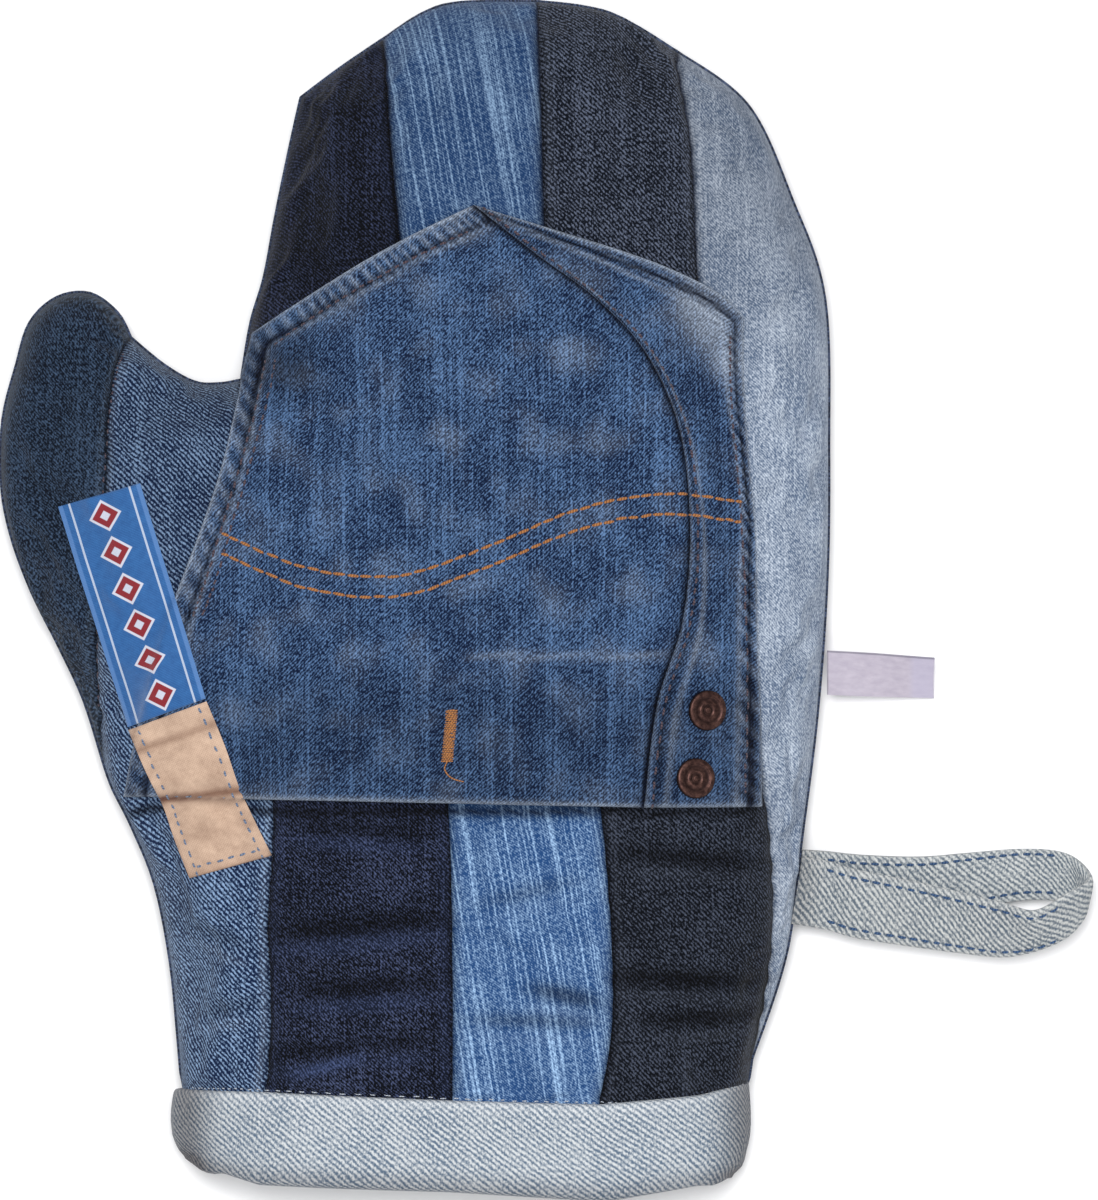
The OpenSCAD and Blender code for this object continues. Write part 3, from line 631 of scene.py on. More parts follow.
woven = {"width": 22.0, "repeat": 9.95, "lozenge": 4.3, "thickness": 0.5}
sideTag = {"axis": (72.9, -19.0, mitt["seamHeight"]), "length": 29.0, "width": 11.5,
           "thickness": 0.35, "fold": 0.4, "reach": 8.8, "twist": 0.4, "lean": 1.4}
finishes = {
    "wadding": plainWeave("wadding fleece", (190, 184, 172), (236, 231, 220), 1.6, 0.6, height=0.3),
    "lining": plainWeave("lining cotton", (150, 140, 122), (206, 198, 178), 0.6, 0.5),
    "cream": plainWeave("label cotton", (120, 93, 78), (194, 167, 146), 0.7, 0.58,
                        dirtAndShade=(120, 74, 50), cloud=1.6),
    "woven": wovenLabelMaterial(),
    "satin": satinMaterial(),
    "copper": copperMaterial(),
    "pale": yarn("pale thread", (120, 130, 144), (214, 218, 222)),
    "dark": yarn("dark thread", (32, 27, 38), (104, 86, 92)),
    "blue": yarn("blue thread", (28, 48, 78), (78, 108, 146)),
    "grey": yarn("label thread", (64, 78, 104), (134, 146, 166)),
    "orange": yarn("orange thread", (100, 60, 30), (192, 132, 80)),
}
print("materials made")

# The padded front settles between its seams
padding = {
    "pressure": 4.0,
    "frames": 20,
    "cap": 4.0,            # the furthest a point may move, in millimetres
    "seamHold": 0.93,
    "grow": 0.025,         # spare cloth, which gives the creases
    "valley": 1.5,         # how deep the seams pull in
    "valleyWidth": 1.5,
    "pucker": 0.16,
    "puckerPitch": 4.6,
    "ripple": 0.55,
    # creases where the mitt has been bent: x, y of both ends, half width, height
    "folds": [
        (-68, -57, -30, -60, 2.4, -1.3), (-70, -86, -27, -82, 2.8, -1.7),
        (-66, -101, -28, -98, 2.6, -1.5), (-71, -117, -30, -113, 2.2, -1.4),
        (-66, -123, -43, -114.5, 1.7, 1.5), (-5, -100, 14, -104, 2.4, -1.5),
        (-20, -108, 13, -109, 2.0, -1.0), (-18, -78, 8, -72, 2.2, -0.7),
        (18, -65, 54, -68, 2.3, -1.0), (16, -97, 56, -99, 2.6, -1.1),
        (24, -109, 55, -107, 2.0, -1.0), (34.5, -120, 36, -130, 1.2, 0.7),
        (-94, -84, -76, -90, 2.0, -0.8), (-92, -107, -75, -104, 2.0, -0.8),
    ],
    # painted shade where the light fell less: each panel darker towards one end, y where it starts and
    # where it is full, strength
    "darker": [(0, 1, 0.1), (-40, 0, 0.3), (40, 90, 0.5), (30, 80, 0.42), (-30, -60, 0.42),
               (40, 110, 0.38)],
    # how far the two edges of the side seam draw together, and over what width
    "seamFront": 0.62, "seamBack": 0.5, "seamWidth": 0.8,
    "mouthShadow": (-54.6, 1.5, 0.95),    # painted shadow under the pocket's mouth: y, half width, strength
}


def settleFront():
    grids, weights = [], []
    for k, (first, last, *_) in enumerate(panels):
        rows, u = np.linspace(first, last, (last - first) * 3 + 1), np.linspace(0, 1, 9)
        pts, _, d = skin(panelAt(k, u, rows), 1)
        hold = np.where((d < 0.6) | (rows[:, None] < 2.1), 1.0, 0.0)
        for side, col in ((0, 0), (1, -1)):
            span = seamRows[k][side]
            if span:
                on = (rows >= span[0]) & (rows <= span[1])
                hold[on, col] = np.maximum(hold[on, col], padding["seamHold"])
        grids.append(pts)
        weights.append(hold)
    flatPts = np.vstack([g.reshape(-1, 3) for g in grids])
    _, firstAt, member = np.unique(np.round(flatPts * 20).astype(int), axis=0,
                                   return_index=True, return_inverse=True)
    member = member.ravel()
    held = np.zeros(len(firstAt))
    np.maximum.at(held, member, np.concatenate([w.ravel() for w in weights]))
    faces, start = [], 0
    for g in grids:
        for quad in gridFaces(*g.shape[:2]):
            ids = list(dict.fromkeys(int(member[start + i]) for i in quad))
            if len(ids) > 2:
                faces.append(ids)
        start += g.shape[0] * g.shape[1]
    rest = flatPts[firstAt]
    ob = addMesh("front_settling", rest, faces)
    group = ob.vertex_groups.new(name="held")
    for i, w in enumerate(held):
        if w > 0:
            group.add([i], float(w), "REPLACE")
    cloth = ob.modifiers.new("Cloth", "CLOTH")
    s = cloth.settings
    s.quality, s.mass = 6, 0.3
    s.tension_stiffness, s.compression_stiffness = 22, 14
    s.shear_stiffness, s.bending_stiffness = 8, 1.2
    s.use_pressure, s.uniform_pressure_force = True, padding["pressure"]
    s.vertex_group_mass = "held"
    s.shrink_min = -padding["grow"]
    s.effector_weights.gravity = 0
    cloth.point_cache.frame_start, cloth.point_cache.frame_end = 1, padding["frames"]
    for frameNow in range(1, padding["frames"] + 1):
        bpy.context.scene.frame_set(frameNow)
    select(ob)
    bpy.ops.object.modifier_apply(modifier=cloth.name)
    now = np.empty(len(rest) * 3)
    ob.data.vertices.foreach_get("co", now)
    bpy.context.scene.frame_set(1)
    bpy.data.objects.remove(ob)
    move = now.reshape(-1, 3) / mm - rest
    size = np.linalg.norm(move, axis=1, keepdims=True)
    move *= padding["cap"] * np.tanh(size / padding["cap"]) / np.maximum(size, 1e-6)
    print("front settled, moved up to", round(float(size.max()), 2), "mm")
    out, start = [], 0
    for g in grids:
        count = g.shape[0] * g.shape[1]
        out.append(move[member[start:start + count]].reshape(g.shape))
        start += count
    return out


swelling = settleFront()


def columnsOf(count=36):
    fine = [0.003, 0.009, 0.02]
    return np.unique(np.concatenate([np.linspace(0, 1, count + 1), fine, 1 - np.array(fine)]))


def rowsOf(k, step=8):
    first, last = panels[k][:2]
    rows = np.linspace(first, last, (last - first) * step + 1)
    if panels[k][2] is not None:
        rows = np.unique(np.concatenate([rows, last - np.array([0.01, 0.035, 0.075])]))
    return rows


def clothUv(pts, flat):        # where the points lay in the flat cloth
    out = flat.copy()
    for axis in (1, 0):
        extra = along(pts, axis) - along(flat, axis)
        middle = np.take(extra, [extra.shape[axis] // 2], axis=axis)
        out[..., 1 - axis] += extra - middle
    return out


def seamGrooves(k, rows, flat, groove):    # the cloth pulled in along a panel's seams
    sink, near = np.zeros(flat.shape[:-1]), np.full(flat.shape[:-1], 99.0)
    for side, col in ((0, 0), (1, -1)):
        span = seamRows[k][side]
        if span is None:
            continue
        on = ((rows >= span[0]) & (rows <= span[1]))[:, None]
        s = np.where(on, np.linalg.norm(flat - flat[:, [col]], axis=-1), 99.0)
        run = along(flat[:, [col]], 0) + 7 * k
        sink -= padding["valley"] * groove * np.exp(-(s / padding["valleyWidth"]) ** 1.3)
        sink += (padding["pucker"] * groove * np.exp(-((s - 2.4) / 2.2) ** 2)
                 * np.sin(6.283 * run / padding["puckerPitch"] + 1.3 * np.sin(run / 9)))
        near = np.minimum(near, s)
    return sink, near


def frontMarks(k, flat, d, near):          # where a panel is worn, and where it is darkened: painted shade in its seams, creases and one end, painted shadow under the pocket's mouth
    folds = foldField(flat, padding["folds"])
    lowered = foldField(flat + [0, 4.5], padding["folds"])
    wear = np.exp(-((near - 1.9) / 1.0) ** 2) * 0.25 + np.exp(-d / 1.6) * 0.35
    wear += np.maximum(folds, 0) * 0.5 + np.clip(-lowered - 0.3, 0, 1) * 0.35
    # painted shade: darker in the seam grooves and in the valleys of the creases
    dirtAndShade = 0.8 * np.exp(-near / 0.7) + np.clip(-folds, 0, 1.4) * 0.5
    # painted shade: each panel darker towards one end, as the light fell on it
    start, full, strength = padding["darker"][k]
    dirtAndShade = dirtAndShade + strength * smoothStep((flat[..., 1] - start) / (full - start))
    # painted shadow cast by the pocket's gaping mouth onto the panels below it
    y, halfWidth, strength = padding["mouthShadow"]
    under = smoothStep((flat[..., 0] + 109) / 3) * smoothStep((56 - flat[..., 0]) / 3)
    dirtAndShade = np.maximum(dirtAndShade, strength * np.exp(-((flat[..., 1] - y) / halfWidth) ** 2) * under)
    return {"wear": np.clip(wear, 0, 1), "dirtAndShade": np.clip(dirtAndShade, 0, 1)}


def frontShape(k, rows, u, groove=1.0):
    flat = panelAt(k, u, rows)
    pts, n, d = skin(flat, 1)
    t = (rows - panels[k][0]) / (panels[k][1] - panels[k][0])
    swell = np.swapaxes(splineAt(np.swapaxes(splineAt(swelling[k], t), 0, 1), u), 0, 1)
    free = smoothStep((rows - 2) / 0.4)[:, None]       # the binding holds the first two rows
    sink, near = seamGrooves(k, rows, flat, groove)
    loose = ripple(flat, k) * padding["ripple"] + foldField(flat, padding["folds"])
    shape = (sink * smoothStep(d / 3) + loose * smoothStep(d / 9) * smoothStep(near / 4)) * free
    pts[..., 2] -= padding["seamFront"] * np.exp(-d / padding["seamWidth"])
    uv = clothUv(pts, flat)
    pts = pts + swell * free[..., None] + n * shape[..., None]
    return pts, n, uv, frontMarks(k, flat, d, near)


frontPieces = [
    ("front_thumb_panel", "charcoal_denim", "thumb"),
    ("front_side_panel", "mid_blue_denim", "side"),
    ("front_navy_panel", "navy_denim", "navy"),
    ("front_blue_panel", "bright_blue_denim", "blue"),
    ("front_charcoal_panel", "charcoal_denim", "charcoal"),
    ("front_pale_panel", "pale_denim", "pale"),
]


def cutOf(pts, uv):            # width, length and area of the flat cloth
    a, b = np.diff(pts[:-1], axis=1), np.diff(pts[:, :-1], axis=0)
    area = np.linalg.norm(np.cross(a, b), axis=-1).sum() * mm * mm
    wide, tall = np.ptp(uv[..., 0]) * mm, np.ptp(uv[..., 1]) * mm
    grow = max(1.0, np.sqrt(area / (wide * tall) * 1.001))
    return wide * grow, tall * grow, area


def openSheet(name, pts, uv, values, thickness):
    ob = addMesh(name, pts.reshape(-1, 3), gridFaces(*pts.shape[:2]), uv.reshape(-1, 2), values)
    weld(ob, 0.04, outward=False)
    thicken(ob, thickness)
    return ob


panelObjects = []
for k, (name, slotName, finish) in enumerate(frontPieces):
    rows, u = rowsOf(k), columnsOf()
    pts, n, uv, marks = frontShape(k, rows, u)
    ob = openSheet(name + "_cloth", pts, uv, marks, mitt["cloth"])
    finishPiece(ob, "mitt", slotName, denims[finish], name)
    panelObjects.append(ob)
print("front panels done")


# Back, wadding and linings: the six columns of a half in one piece
def tuckIn(ob, least):         # sharp corners of the outline would push inner layers out
    co = np.empty(len(ob.data.vertices) * 3)
    ob.data.vertices.foreach_get("co", co)
    co = co.reshape(-1, 3) / mm
    h = 0.3
    for _ in range(4):
        d = seamDistance(co[:, :2])
        out = d < least
        spot = co[out][:, :2]
        slope = np.stack([seamDistance(spot + [h, 0]) - seamDistance(spot - [h, 0]),
                          seamDistance(spot + [0, h]) - seamDistance(spot - [0, h])], -1)
        co[out, :2] += unit(slope) * np.minimum(least - d[out], 3)[:, None]
    ob.data.vertices.foreach_set("co", (co * mm).ravel())
    ob.data.update()


def halfSheet(name, side, depth, thickness, step=3, cols=12, edge=0.0):
    verts, uvs, wears, faces = [], [], [], []
    area = 0.0
    for k in range(6):
        rows, u = rowsOf(k, step), columnsOf(cols)
        if side > 0:
            pts, n, uv, marks = frontShape(k, rows, u, 0.45)
            wear = marks["wear"]
        else:
            flat = panelAt(k, u, rows)
            pts, n, d = skin(flat, -1)
            dent = (ripple(flat, 2.0 + k) * 0.35 - 0.4) * smoothStep(d / 12)
            dent += edge * np.exp(-(d / 2.2) ** 2) * smoothStep((rows - 2) / 0.5)[:, None]
            uv = clothUv(pts, flat)
            pts, wear = pts + n * dent[..., None], np.exp(-d / 1.5)
            pts[..., 2] += padding["seamBack"] * np.exp(-d / padding["seamWidth"])
            pts[..., 2] = np.maximum(pts[..., 2], 0)
        pts = pts - n * depth
        start = sum(len(v) for v in verts)
        verts.append(pts.reshape(-1, 3))
        uvs.append(uv.reshape(-1, 2))
        wears.append(wear.ravel())
        faces += [[start + i for i in f] for f in gridFaces(*pts.shape[:2], flip=side < 0)]
        area += cutOf(pts, uv)[2]
    ob = addMesh(name, np.vstack(verts), faces, np.vstack(uvs), {"wear": np.concatenate(wears)})
    weld(ob, 0.06, outward=False)
    thicken(ob, thickness)
    if depth:
        tuckIn(ob, max(depth * 0.6, 2.4))
    return ob, area


back, backArea = halfSheet("back_panel_cloth", -1, 0.0, mitt["cloth"], 5, 20, edge=0.6)
finishPiece(back, "mitt", "indigo_denim", denims["indigo"], "back_panel")
for side, tag in ((1, "front"), (-1, "back")):
    wadding, _ = halfSheet("wadding_" + tag, side, mitt["waddingDepth"], mitt["wadding"])
    finishPiece(wadding, "mitt", "wadding", finishes["wadding"], tag + "_wadding")
    lining, liningArea = halfSheet("lining_" + tag, side, mitt["liningDepth"], mitt["lining"])
    finishPiece(lining, "mitt", "lining_cotton", finishes["lining"], tag + "_lining")
print("back, wadding and linings done")

# Cuff binding: one folded strip round the raw edges of the mouth
binding = {"outside": 2.3, "inside": 1.3, "bulge": 2.8, "inner": mitt["wall"] + 0.1,
           "cut": 56.0,        # width of the strip before it is folded
           "flatEnd": 38.0,    # from here to the right the strip lies flatter and lower
           "endDrop": 2.2,
           # the rounded corners: x, y of the centre, side and end it lies on
           "corners": [(-84.0, -137.0, -1, -1), (41.4, -144.0, 1, -1)]}


def mouthStations(side):
    rows, u = np.linspace(2, 0, 5), np.linspace(0, 1, 25)
    pts, normals = [], []
    for k in range(1, 5):
        p, n, _ = skin(panelAt(k, u if k == 4 else u[:-1], rows), side)
        pts.append(p)
        normals.append(n)
    return np.concatenate(pts, 1), np.concatenate(normals, 1)


def bindingSection(pts, normals, run):
    q = np.unique(np.concatenate([[0, 0.012, 0.03, 0.055, 0.09], np.linspace(0.14, 1, 12)]))
    lip = np.sqrt(1 - (1 - np.clip(q / 0.09, 0, 1)) ** 2)
    full = lip * (0.8 + 0.2 * np.sin(np.pi * np.clip(q * 1.05, 0, 1)))
    turn = np.linspace(0, np.pi, 11)[1:-1]
    outEnd, inEnd = -0.1 - binding["outside"] * full[-1], binding["inner"] + binding["inside"]
    q2 = np.array([1, 0.7, 0.4, 0.15, 0.06, 0.0])
    lip2 = np.sqrt(1 - (1 - np.clip(q2 / 0.1, 0, 1)) ** 2)
    # each step: place across the strip, depth below the skin, how far past the edge
    steps = [(a, -0.1 - binding["outside"] * b, 0.5 * smoothStep(a)) for a, b in zip(q, full)]
    steps += [(1, (outEnd + inEnd) / 2 - (inEnd - outEnd) / 2 * np.cos(a),
               0.5 + (binding["bulge"] - 0.5) * np.sin(a) ** 0.8) for a in turn]
    steps += [(a, binding["inner"] + binding["inside"] * max(b, 0.15), 0.5 * a ** 2)
              for a, b in zip(q2, lip2)]
    steps += [(a, binding["inner"], 0.3 * a) for a in (0.0, 0.5, 1.0)]
    steps += [(a, -0.1, 0.3 * a) for a in (1.0, 0.5, 0.0)]
    out = []
    for q1, depth, fold in steps:
        p = splineAt(pts, q1)
        n = unit(splineAt(normals, q1))
        puff = 0.22 * np.sin(run / 3.1 + 2 * np.sin(run / 17)) * np.sin(np.pi * q1)
        end = smoothStep((p[:, 0] - binding["flatEnd"]) / 14)
        flatter = np.where(depth < -0.1, 1 - 0.85 * end, 1.0)
        low = fold + binding["endDrop"] * end * q1 * (fold > 0.25) - 2.0 * end * (1 - q1)
        out.append(p - n * ((depth - puff * (depth < -0.5)) * flatter)[:, None]
                   - np.stack([0 * low, low, 0 * low], -1))
    return np.stack(out, 1), np.array([step[0] for step in steps])


def roundCorner(flat, x, y, side, end):    # the corner's reach changes evenly with the angle
    beyond = (flat - [x, y]) * [side, end]
    size, turn = np.linalg.norm(beyond, axis=-1), np.arctan2(beyond[..., 1], beyond[..., 0])
    angles = np.linspace(0, np.pi / 2, 10)
    reach = np.array([size[np.abs(turn - a) < 0.12].max() for a in angles])
    wanted = reach[0] + (reach[-1] - reach[0]) * angles / angles[-1]
    scale = np.interp(turn, angles, wanted / reach)
    scale = 1 + (scale - 1) * smoothStep(size / np.interp(turn, angles, reach) * 1.6 - 0.5)
    moved = [x, y] + beyond * [side, end] * scale[..., None]
    return np.where((beyond > 0).all(-1)[..., None], moved, flat)


frontRing, frontNormals = mouthStations(1)
backRing, backNormals = mouthStations(-1)
ringPts = np.concatenate([frontRing, backRing[:, -2:0:-1]], 1)
ringNormals = np.concatenate([frontNormals, backNormals[:, -2:0:-1]], 1)
ringRun = along(ringPts[:1], 1)[0]
bindingPts, bindingAcross = bindingSection(ringPts, ringNormals, ringRun)
for corner in binding["corners"]:
    bindingPts[..., :2] = roundCorner(bindingPts[..., :2], *corner)
bindingPts[..., 2] = np.maximum(bindingPts[..., 2], 0)
stations, loopSize = bindingPts.shape[:2]
faces = []
for i in range(stations):
    here, beyond = i * loopSize, (i + 1) % stations * loopSize
    for a in range(loopSize):
        b = (a + 1) % loopSize
        faces.append([here + a, here + b, beyond + b, beyond + a])
bindingRun = along(bindingPts, 1)
bindingUv = np.stack([np.repeat(ringRun[:, None], loopSize, 1), -bindingRun], -1)
bindingUv[..., 0] += 0.35 * np.sin(bindingRun / 4)
# darker at both ends of the mouth, painted shade along the fold at the bottom edge, the upper edge is
# worn
ends = np.exp(-((np.abs(bindingPts[..., 0] + 21) - 73) / 7) ** 2)
fold = np.exp(-((bindingAcross[None] - 1) / 0.16) ** 2) * np.ones((stations, 1))
dirtAndShade = np.clip(0.75 * ends + 0.45 * fold, 0, 1)
wear = np.exp(-((bindingAcross[None] - 0.05) / 0.08) ** 2) * np.ones((stations, 1))
strip = addMesh("cuff_binding_cloth", bindingPts.reshape(-1, 3), faces, bindingUv.reshape(-1, 2),
                {"dirtAndShade": dirtAndShade, "wear": wear})
weld(strip, 0.03)
shade(strip)
finishPiece(strip, "mitt", "reverse_denim", denims["reverse"], "cuff_binding")
print("binding done")

# Pocket: a curved seam joins its panel and its side band
pocketLeft = [[-108.5, -50.5], [-104.5, -30], [-97.5, -4], [-89.5, 17.5], [-84, 34],
              [-79.5, 52], [-75, 69]]
pocketRight = [[54.5, -53.5], [54.5, -33], [53.5, -8], [53, 16], [51, 40], [50, 58], [50, 73]]
bandSeam = [[24.5, -53.5], [28, -27], [34.5, -5.5], [36.5, 17], [34, 43], [25.5, 63],
            [13, 77], [-3, 89], [-19, 101.5]]
slopeLeft = [[-75, 69], [-57, 81], [-38.5, 92], [-19, 101.5]]
slopeRight = [[-19, 101.5], [4, 94.5], [27, 87], [43, 79.5], [50, 73]]
pocket = {
    "cloth": 1.5,
    "sewnGap": 0.55,
    "bag": 7.0,            # how far the mouth gapes in the middle
    "sewnY": 62.0,         # above this the pocket lies close
    "mouthY": -52.0,
    "hemRidge": 0.5,       # the turned-in edge makes the cloth thicker
    "hemWidth": 5.6,
    "mouthHem": 11.5,
    "stitchPull": 0.5,
    "pucker": 0.22,
    "puckerPitch": 5.6,
    "paleCreaseY": -14.5,  # the crease where the mouth was once folded over
    # rubbed places of the band: x, y, radius, strength
    "rubbed": [(42, 70, 6, 0.6), (46, 61, 4, 0.5), (36, 76, 5, 0.4)],
    # creases of the worn pocket: x, y of both ends, half width, height
    "folds": [
        (-70, 60, -50, 40, 3.0, -0.5), (-88, 10, -60, 22, 3.5, 0.45),
        (-95, -20, -70, -10, 3.0, -0.5),
        (-60, 62, -30, 70, 3.0, 0.4), (-30, 88, 0, 78, 3.0, -0.45), (36, 66, 48, 50, 2.2, -0.6),
        (-40, -40, -10, -44, 3.5, 0.5), (-20, -14.5, 32, -14.5, 1.6, 0.15),
        (38, 10, 52, 6, 2.4, -0.4), (-60, -25, -35, -30, 3.0, -0.4),
    ],
}


def sideX(curve, y):
    p = np.array(curve)
    return np.interp(y, p[:, 1], p[:, 0])


def pocketGap(flat):
    left, right = sideX(pocketLeft, flat[..., 1]), sideX(pocketRight, flat[..., 1])
    over = np.clip((flat[..., 0] - left) / (right - left), 0, 1)
    gaping = np.clip((pocket["sewnY"] - flat[..., 1]) / (pocket["sewnY"] - pocket["mouthY"]), 0, 1)
    return (pocket["sewnGap"] + (pocket["bag"] - pocket["sewnGap"])
            * np.sin(np.pi * over) ** 2 * gaping ** 1.4)


def blur(grid, rounds):
    g = grid.copy()
    for _ in range(rounds):
        pad = np.pad(g, 1, mode="edge")
        g = (pad[1:-1, 1:-1] * 2 + pad[:-2, 1:-1] + pad[2:, 1:-1] + pad[1:-1, :-2]
             + pad[1:-1, 2:]) / 6
    return g


def roundEdge(s, width):
    return np.sqrt(1 - (1 - np.clip(s / width, 0, 1)) ** 2)


def closedSlab(name, top, bottom, uv, values):
    r, c = top.shape[:2]
    count = r * c
    faces = gridFaces(r, c) + [[count + i for i in f] for f in gridFaces(r, c, flip=True)]
    border = ([(0, j) for j in range(c)] + [(i, c - 1) for i in range(1, r)]
              + [(r - 1, j) for j in range(c - 2, -1, -1)] + [(i, 0) for i in range(r - 2, 0, -1)])
    ids = [i * c + j for i, j in border]
    for a, b in zip(ids, ids[1:] + ids[:1]):
        faces.append([b, a, count + a, count + b])
    doubled = {key: np.concatenate([v.ravel(), v.ravel()]) for key, v in values.items()}
    ob = addMesh(name, np.vstack([top.reshape(-1, 3), bottom.reshape(-1, 3)]), faces,
                 np.vstack([uv.reshape(-1, 2)] * 2), doubled)
    weld(ob, 0.02)
    shade(ob, 1.0)
    return ob


panelTree = treeOf(panelObjects)


def fineEnds(count, size):     # even steps, and closer ones at both edges of a piece
    close = np.array([0.25, 0.6, 1.0, 1.5]) / size
    return np.unique(np.concatenate([np.linspace(0, 1, count + 1), close, 1 - close]))


def pocketGrid(left, right, top, wide, columns):
    u, v = fineEnds(columns, wide), fineEnds(104, 130)
    ends = np.array(top, float)
    bend = splineAt(top, u) - (ends[0] + (ends[-1] - ends[0]) * u[:, None])
    l, r = splineAt(left, v)[:, None], splineAt(right, v)[:, None]
    return l + (r - l) * u[None, :, None] + (v ** 4)[:, None, None] * bend[None]


def overPanels(flat):          # the face the pocket lies on, without its finest creases
    ideal, n, d = skin(flat, 1)
    real, _ = dropOn(panelTree, flat)
    lift = np.where(d < 9, 0, real[..., 2] - ideal[..., 2])
    lift = np.maximum(blur(lift, 14), lift - 0.5)
    return ideal + np.stack([0 * lift, 0 * lift, blur(lift, 3)], -1), n


def pocketMarks(isBand, flat, borders, row, puckers):     # where it is worn, and where it is darker: painted shade in the stitch grooves, the band seam and pucker hollows
    outer, inner, mouth = borders
    wear = (0.85 * np.exp(-(outer / 1.0) ** 2) + 0.8 * np.exp(-(mouth / 0.9) ** 2)
            + 0.25 * np.exp(-((outer - pocket["hemWidth"] - 1.3) / 0.8) ** 2)
            + 0.4 * np.clip(puckers, 0, 1))
    if isBand:
        for x, y, size, much in pocket["rubbed"]:
            away = (flat[..., 0] - x) ** 2 + (flat[..., 1] - y) ** 2
            wear += much * np.exp(-away / size ** 2)
        wear += 0.3 * np.exp(-((inner - 5.2) / 0.8) ** 2) + 0.2 * np.exp(-(inner / 0.8) ** 2)
    else:
        crease = np.exp(-((flat[..., 1] - pocket["paleCreaseY"]) / 1.0) ** 2)
        wear += (0.22 * crease * smoothStep((flat[..., 0] + 24) / 8)
                 * smoothStep((36 - flat[..., 0]) / 8))
    wear += np.clip(ripple(flat * 1.8, 1.0), 0, 1) * 0.18
    # a dark patch at the upper left; painted shade in the stitch rows, along the band seam and in the
    # pucker hollows; darker towards the mouth
    dark = 0.7 * np.exp(-(((flat[..., 0] + 67) / 8) ** 2 + ((flat[..., 1] - 60) / 9) ** 2))
    dark = dark + 0.75 * row + (0.1 + 0.5 * np.exp(-((inner - 2.2) / 0.8) ** 2) if isBand else
                                0.95 * np.exp(-(inner / 1.3) ** 2))
    dark = dark + 0.35 * np.clip(-puckers, 0, 1) + 0.25 * smoothStep((-14 - flat[..., 1]) / 14)
    return {"wear": np.clip(wear, 0, 1), "dirtAndShade": np.clip(dark, 0, 1)}


def pocketShape(isBand, left, right, top, wide, columns):
    flat = pocketGrid(left, right, top, wide, columns)
    base, n = overPanels(flat)
    gap = pocketGap(flat)
    sLeft, sRight, sTop, mouth = [np.linalg.norm(flat - border, axis=-1) for border in (
        flat[:, :1], flat[:, -1:], flat[-1:], flat[:1])]
    outer = np.minimum(sRight if isBand else sLeft, sTop)
    inner = sLeft if isBand else sRight
    hem = pocket["hemRidge"] * (1 - smoothStep((outer - pocket["hemWidth"] + 0.8) / 1.2))
    hem += pocket["hemRidge"] * 0.8 * (1 - smoothStep((mouth - pocket["mouthHem"]) / 1.2))
    row = np.exp(-((outer - pocket["hemWidth"] * (0.62 if isBand else 1)) / 0.9) ** 2)
    shape = (hem - pocket["stitchPull"] * row + foldField(flat, pocket["folds"])
             + ripple(flat, 4.0) * 0.5 * smoothStep(outer / 6))
    run = along(flat, 0) + along(flat, 1)
    puckers = (np.sin(6.283 * run / pocket["puckerPitch"] + 1.6 * np.sin(run / 6.1))
               * np.exp(-((outer - 4) / 3.0) ** 2))
    shape += pocket["pucker"] * puckers
    if isBand:
        shape += (0.75 * (1 - smoothStep((inner - 4.6) / 1.4))
                  - 0.4 * np.exp(-((inner - 2.2) / 0.5) ** 2))
    else:
        shape -= 0.9 * np.exp(-(inner / 1.2) ** 1.4)
    edge = roundEdge(np.minimum(outer, mouth), 1.3)
    if isBand:
        edge = edge * roundEdge(inner + 0.15, 0.9)
    thick = (pocket["cloth"] + shape) * (0.25 + 0.75 * edge)
    top, bottom = base + n * (gap + thick)[..., None], base + n * gap[..., None]
    return top, bottom, clothUv(top, flat), pocketMarks(isBand, flat, (outer, inner, mouth), row,
                                                         puckers)


denims["pocket"] = denim("pocket denim", (5, 19, 45), (84, 114, 154), (176, 188, 204),
                         pitch=1.0, slope=-1.0, twill=0.6, speckle=0.55, streak=0.35, cloud=0.4,
                         wear=0.9, shadeBy=(50, 58, 78))
pocketObjects = []
for name, isBand, *shape in (("pocket_panel", False, pocketLeft, bandSeam, slopeLeft, 130, 96),
                             ("pocket_side_band", True, bandSeam, pocketRight, slopeRight, 30, 30)):
    top, bottom, uv, values = pocketShape(isBand, *shape)
    ob = closedSlab(name + "_cloth", top, bottom, uv, values)
    finishPiece(ob, "mitt", "pocket_denim", denims["pocket"], name)
    pocketObjects.append(ob)
print("pocket done")

# Labels, sewn across the edge of the pocket
wovenLeft = [[-108.5, -33], [-117.5, -4.5], [-126.5, 24]]
wovenRight = [[-88, -25.5], [-96.5, 2.2], [-105, 30]]
creamLeft = [[-92.5, -72], [-96.5, -62], [-99.5, -53.5], [-104, -44], [-108.3, -33.7]]
creamRight = [[-71, -66], [-75, -58], [-79, -49.5], [-83, -38], [-87.8, -26.2]]
# Creases of the cream label: y on the left, slope, half width, height, painted shade
creamFolds = [
    (-50.5, 0.12, 1.3, -0.5, 0.75), (-46.5, 0.1, 1.2, 0.5, 0.0), (-33.5, 0.35, 1.2, -0.35, 0.45),
    (-61, 0.25, 1.6, 0.35, 0.15),
]


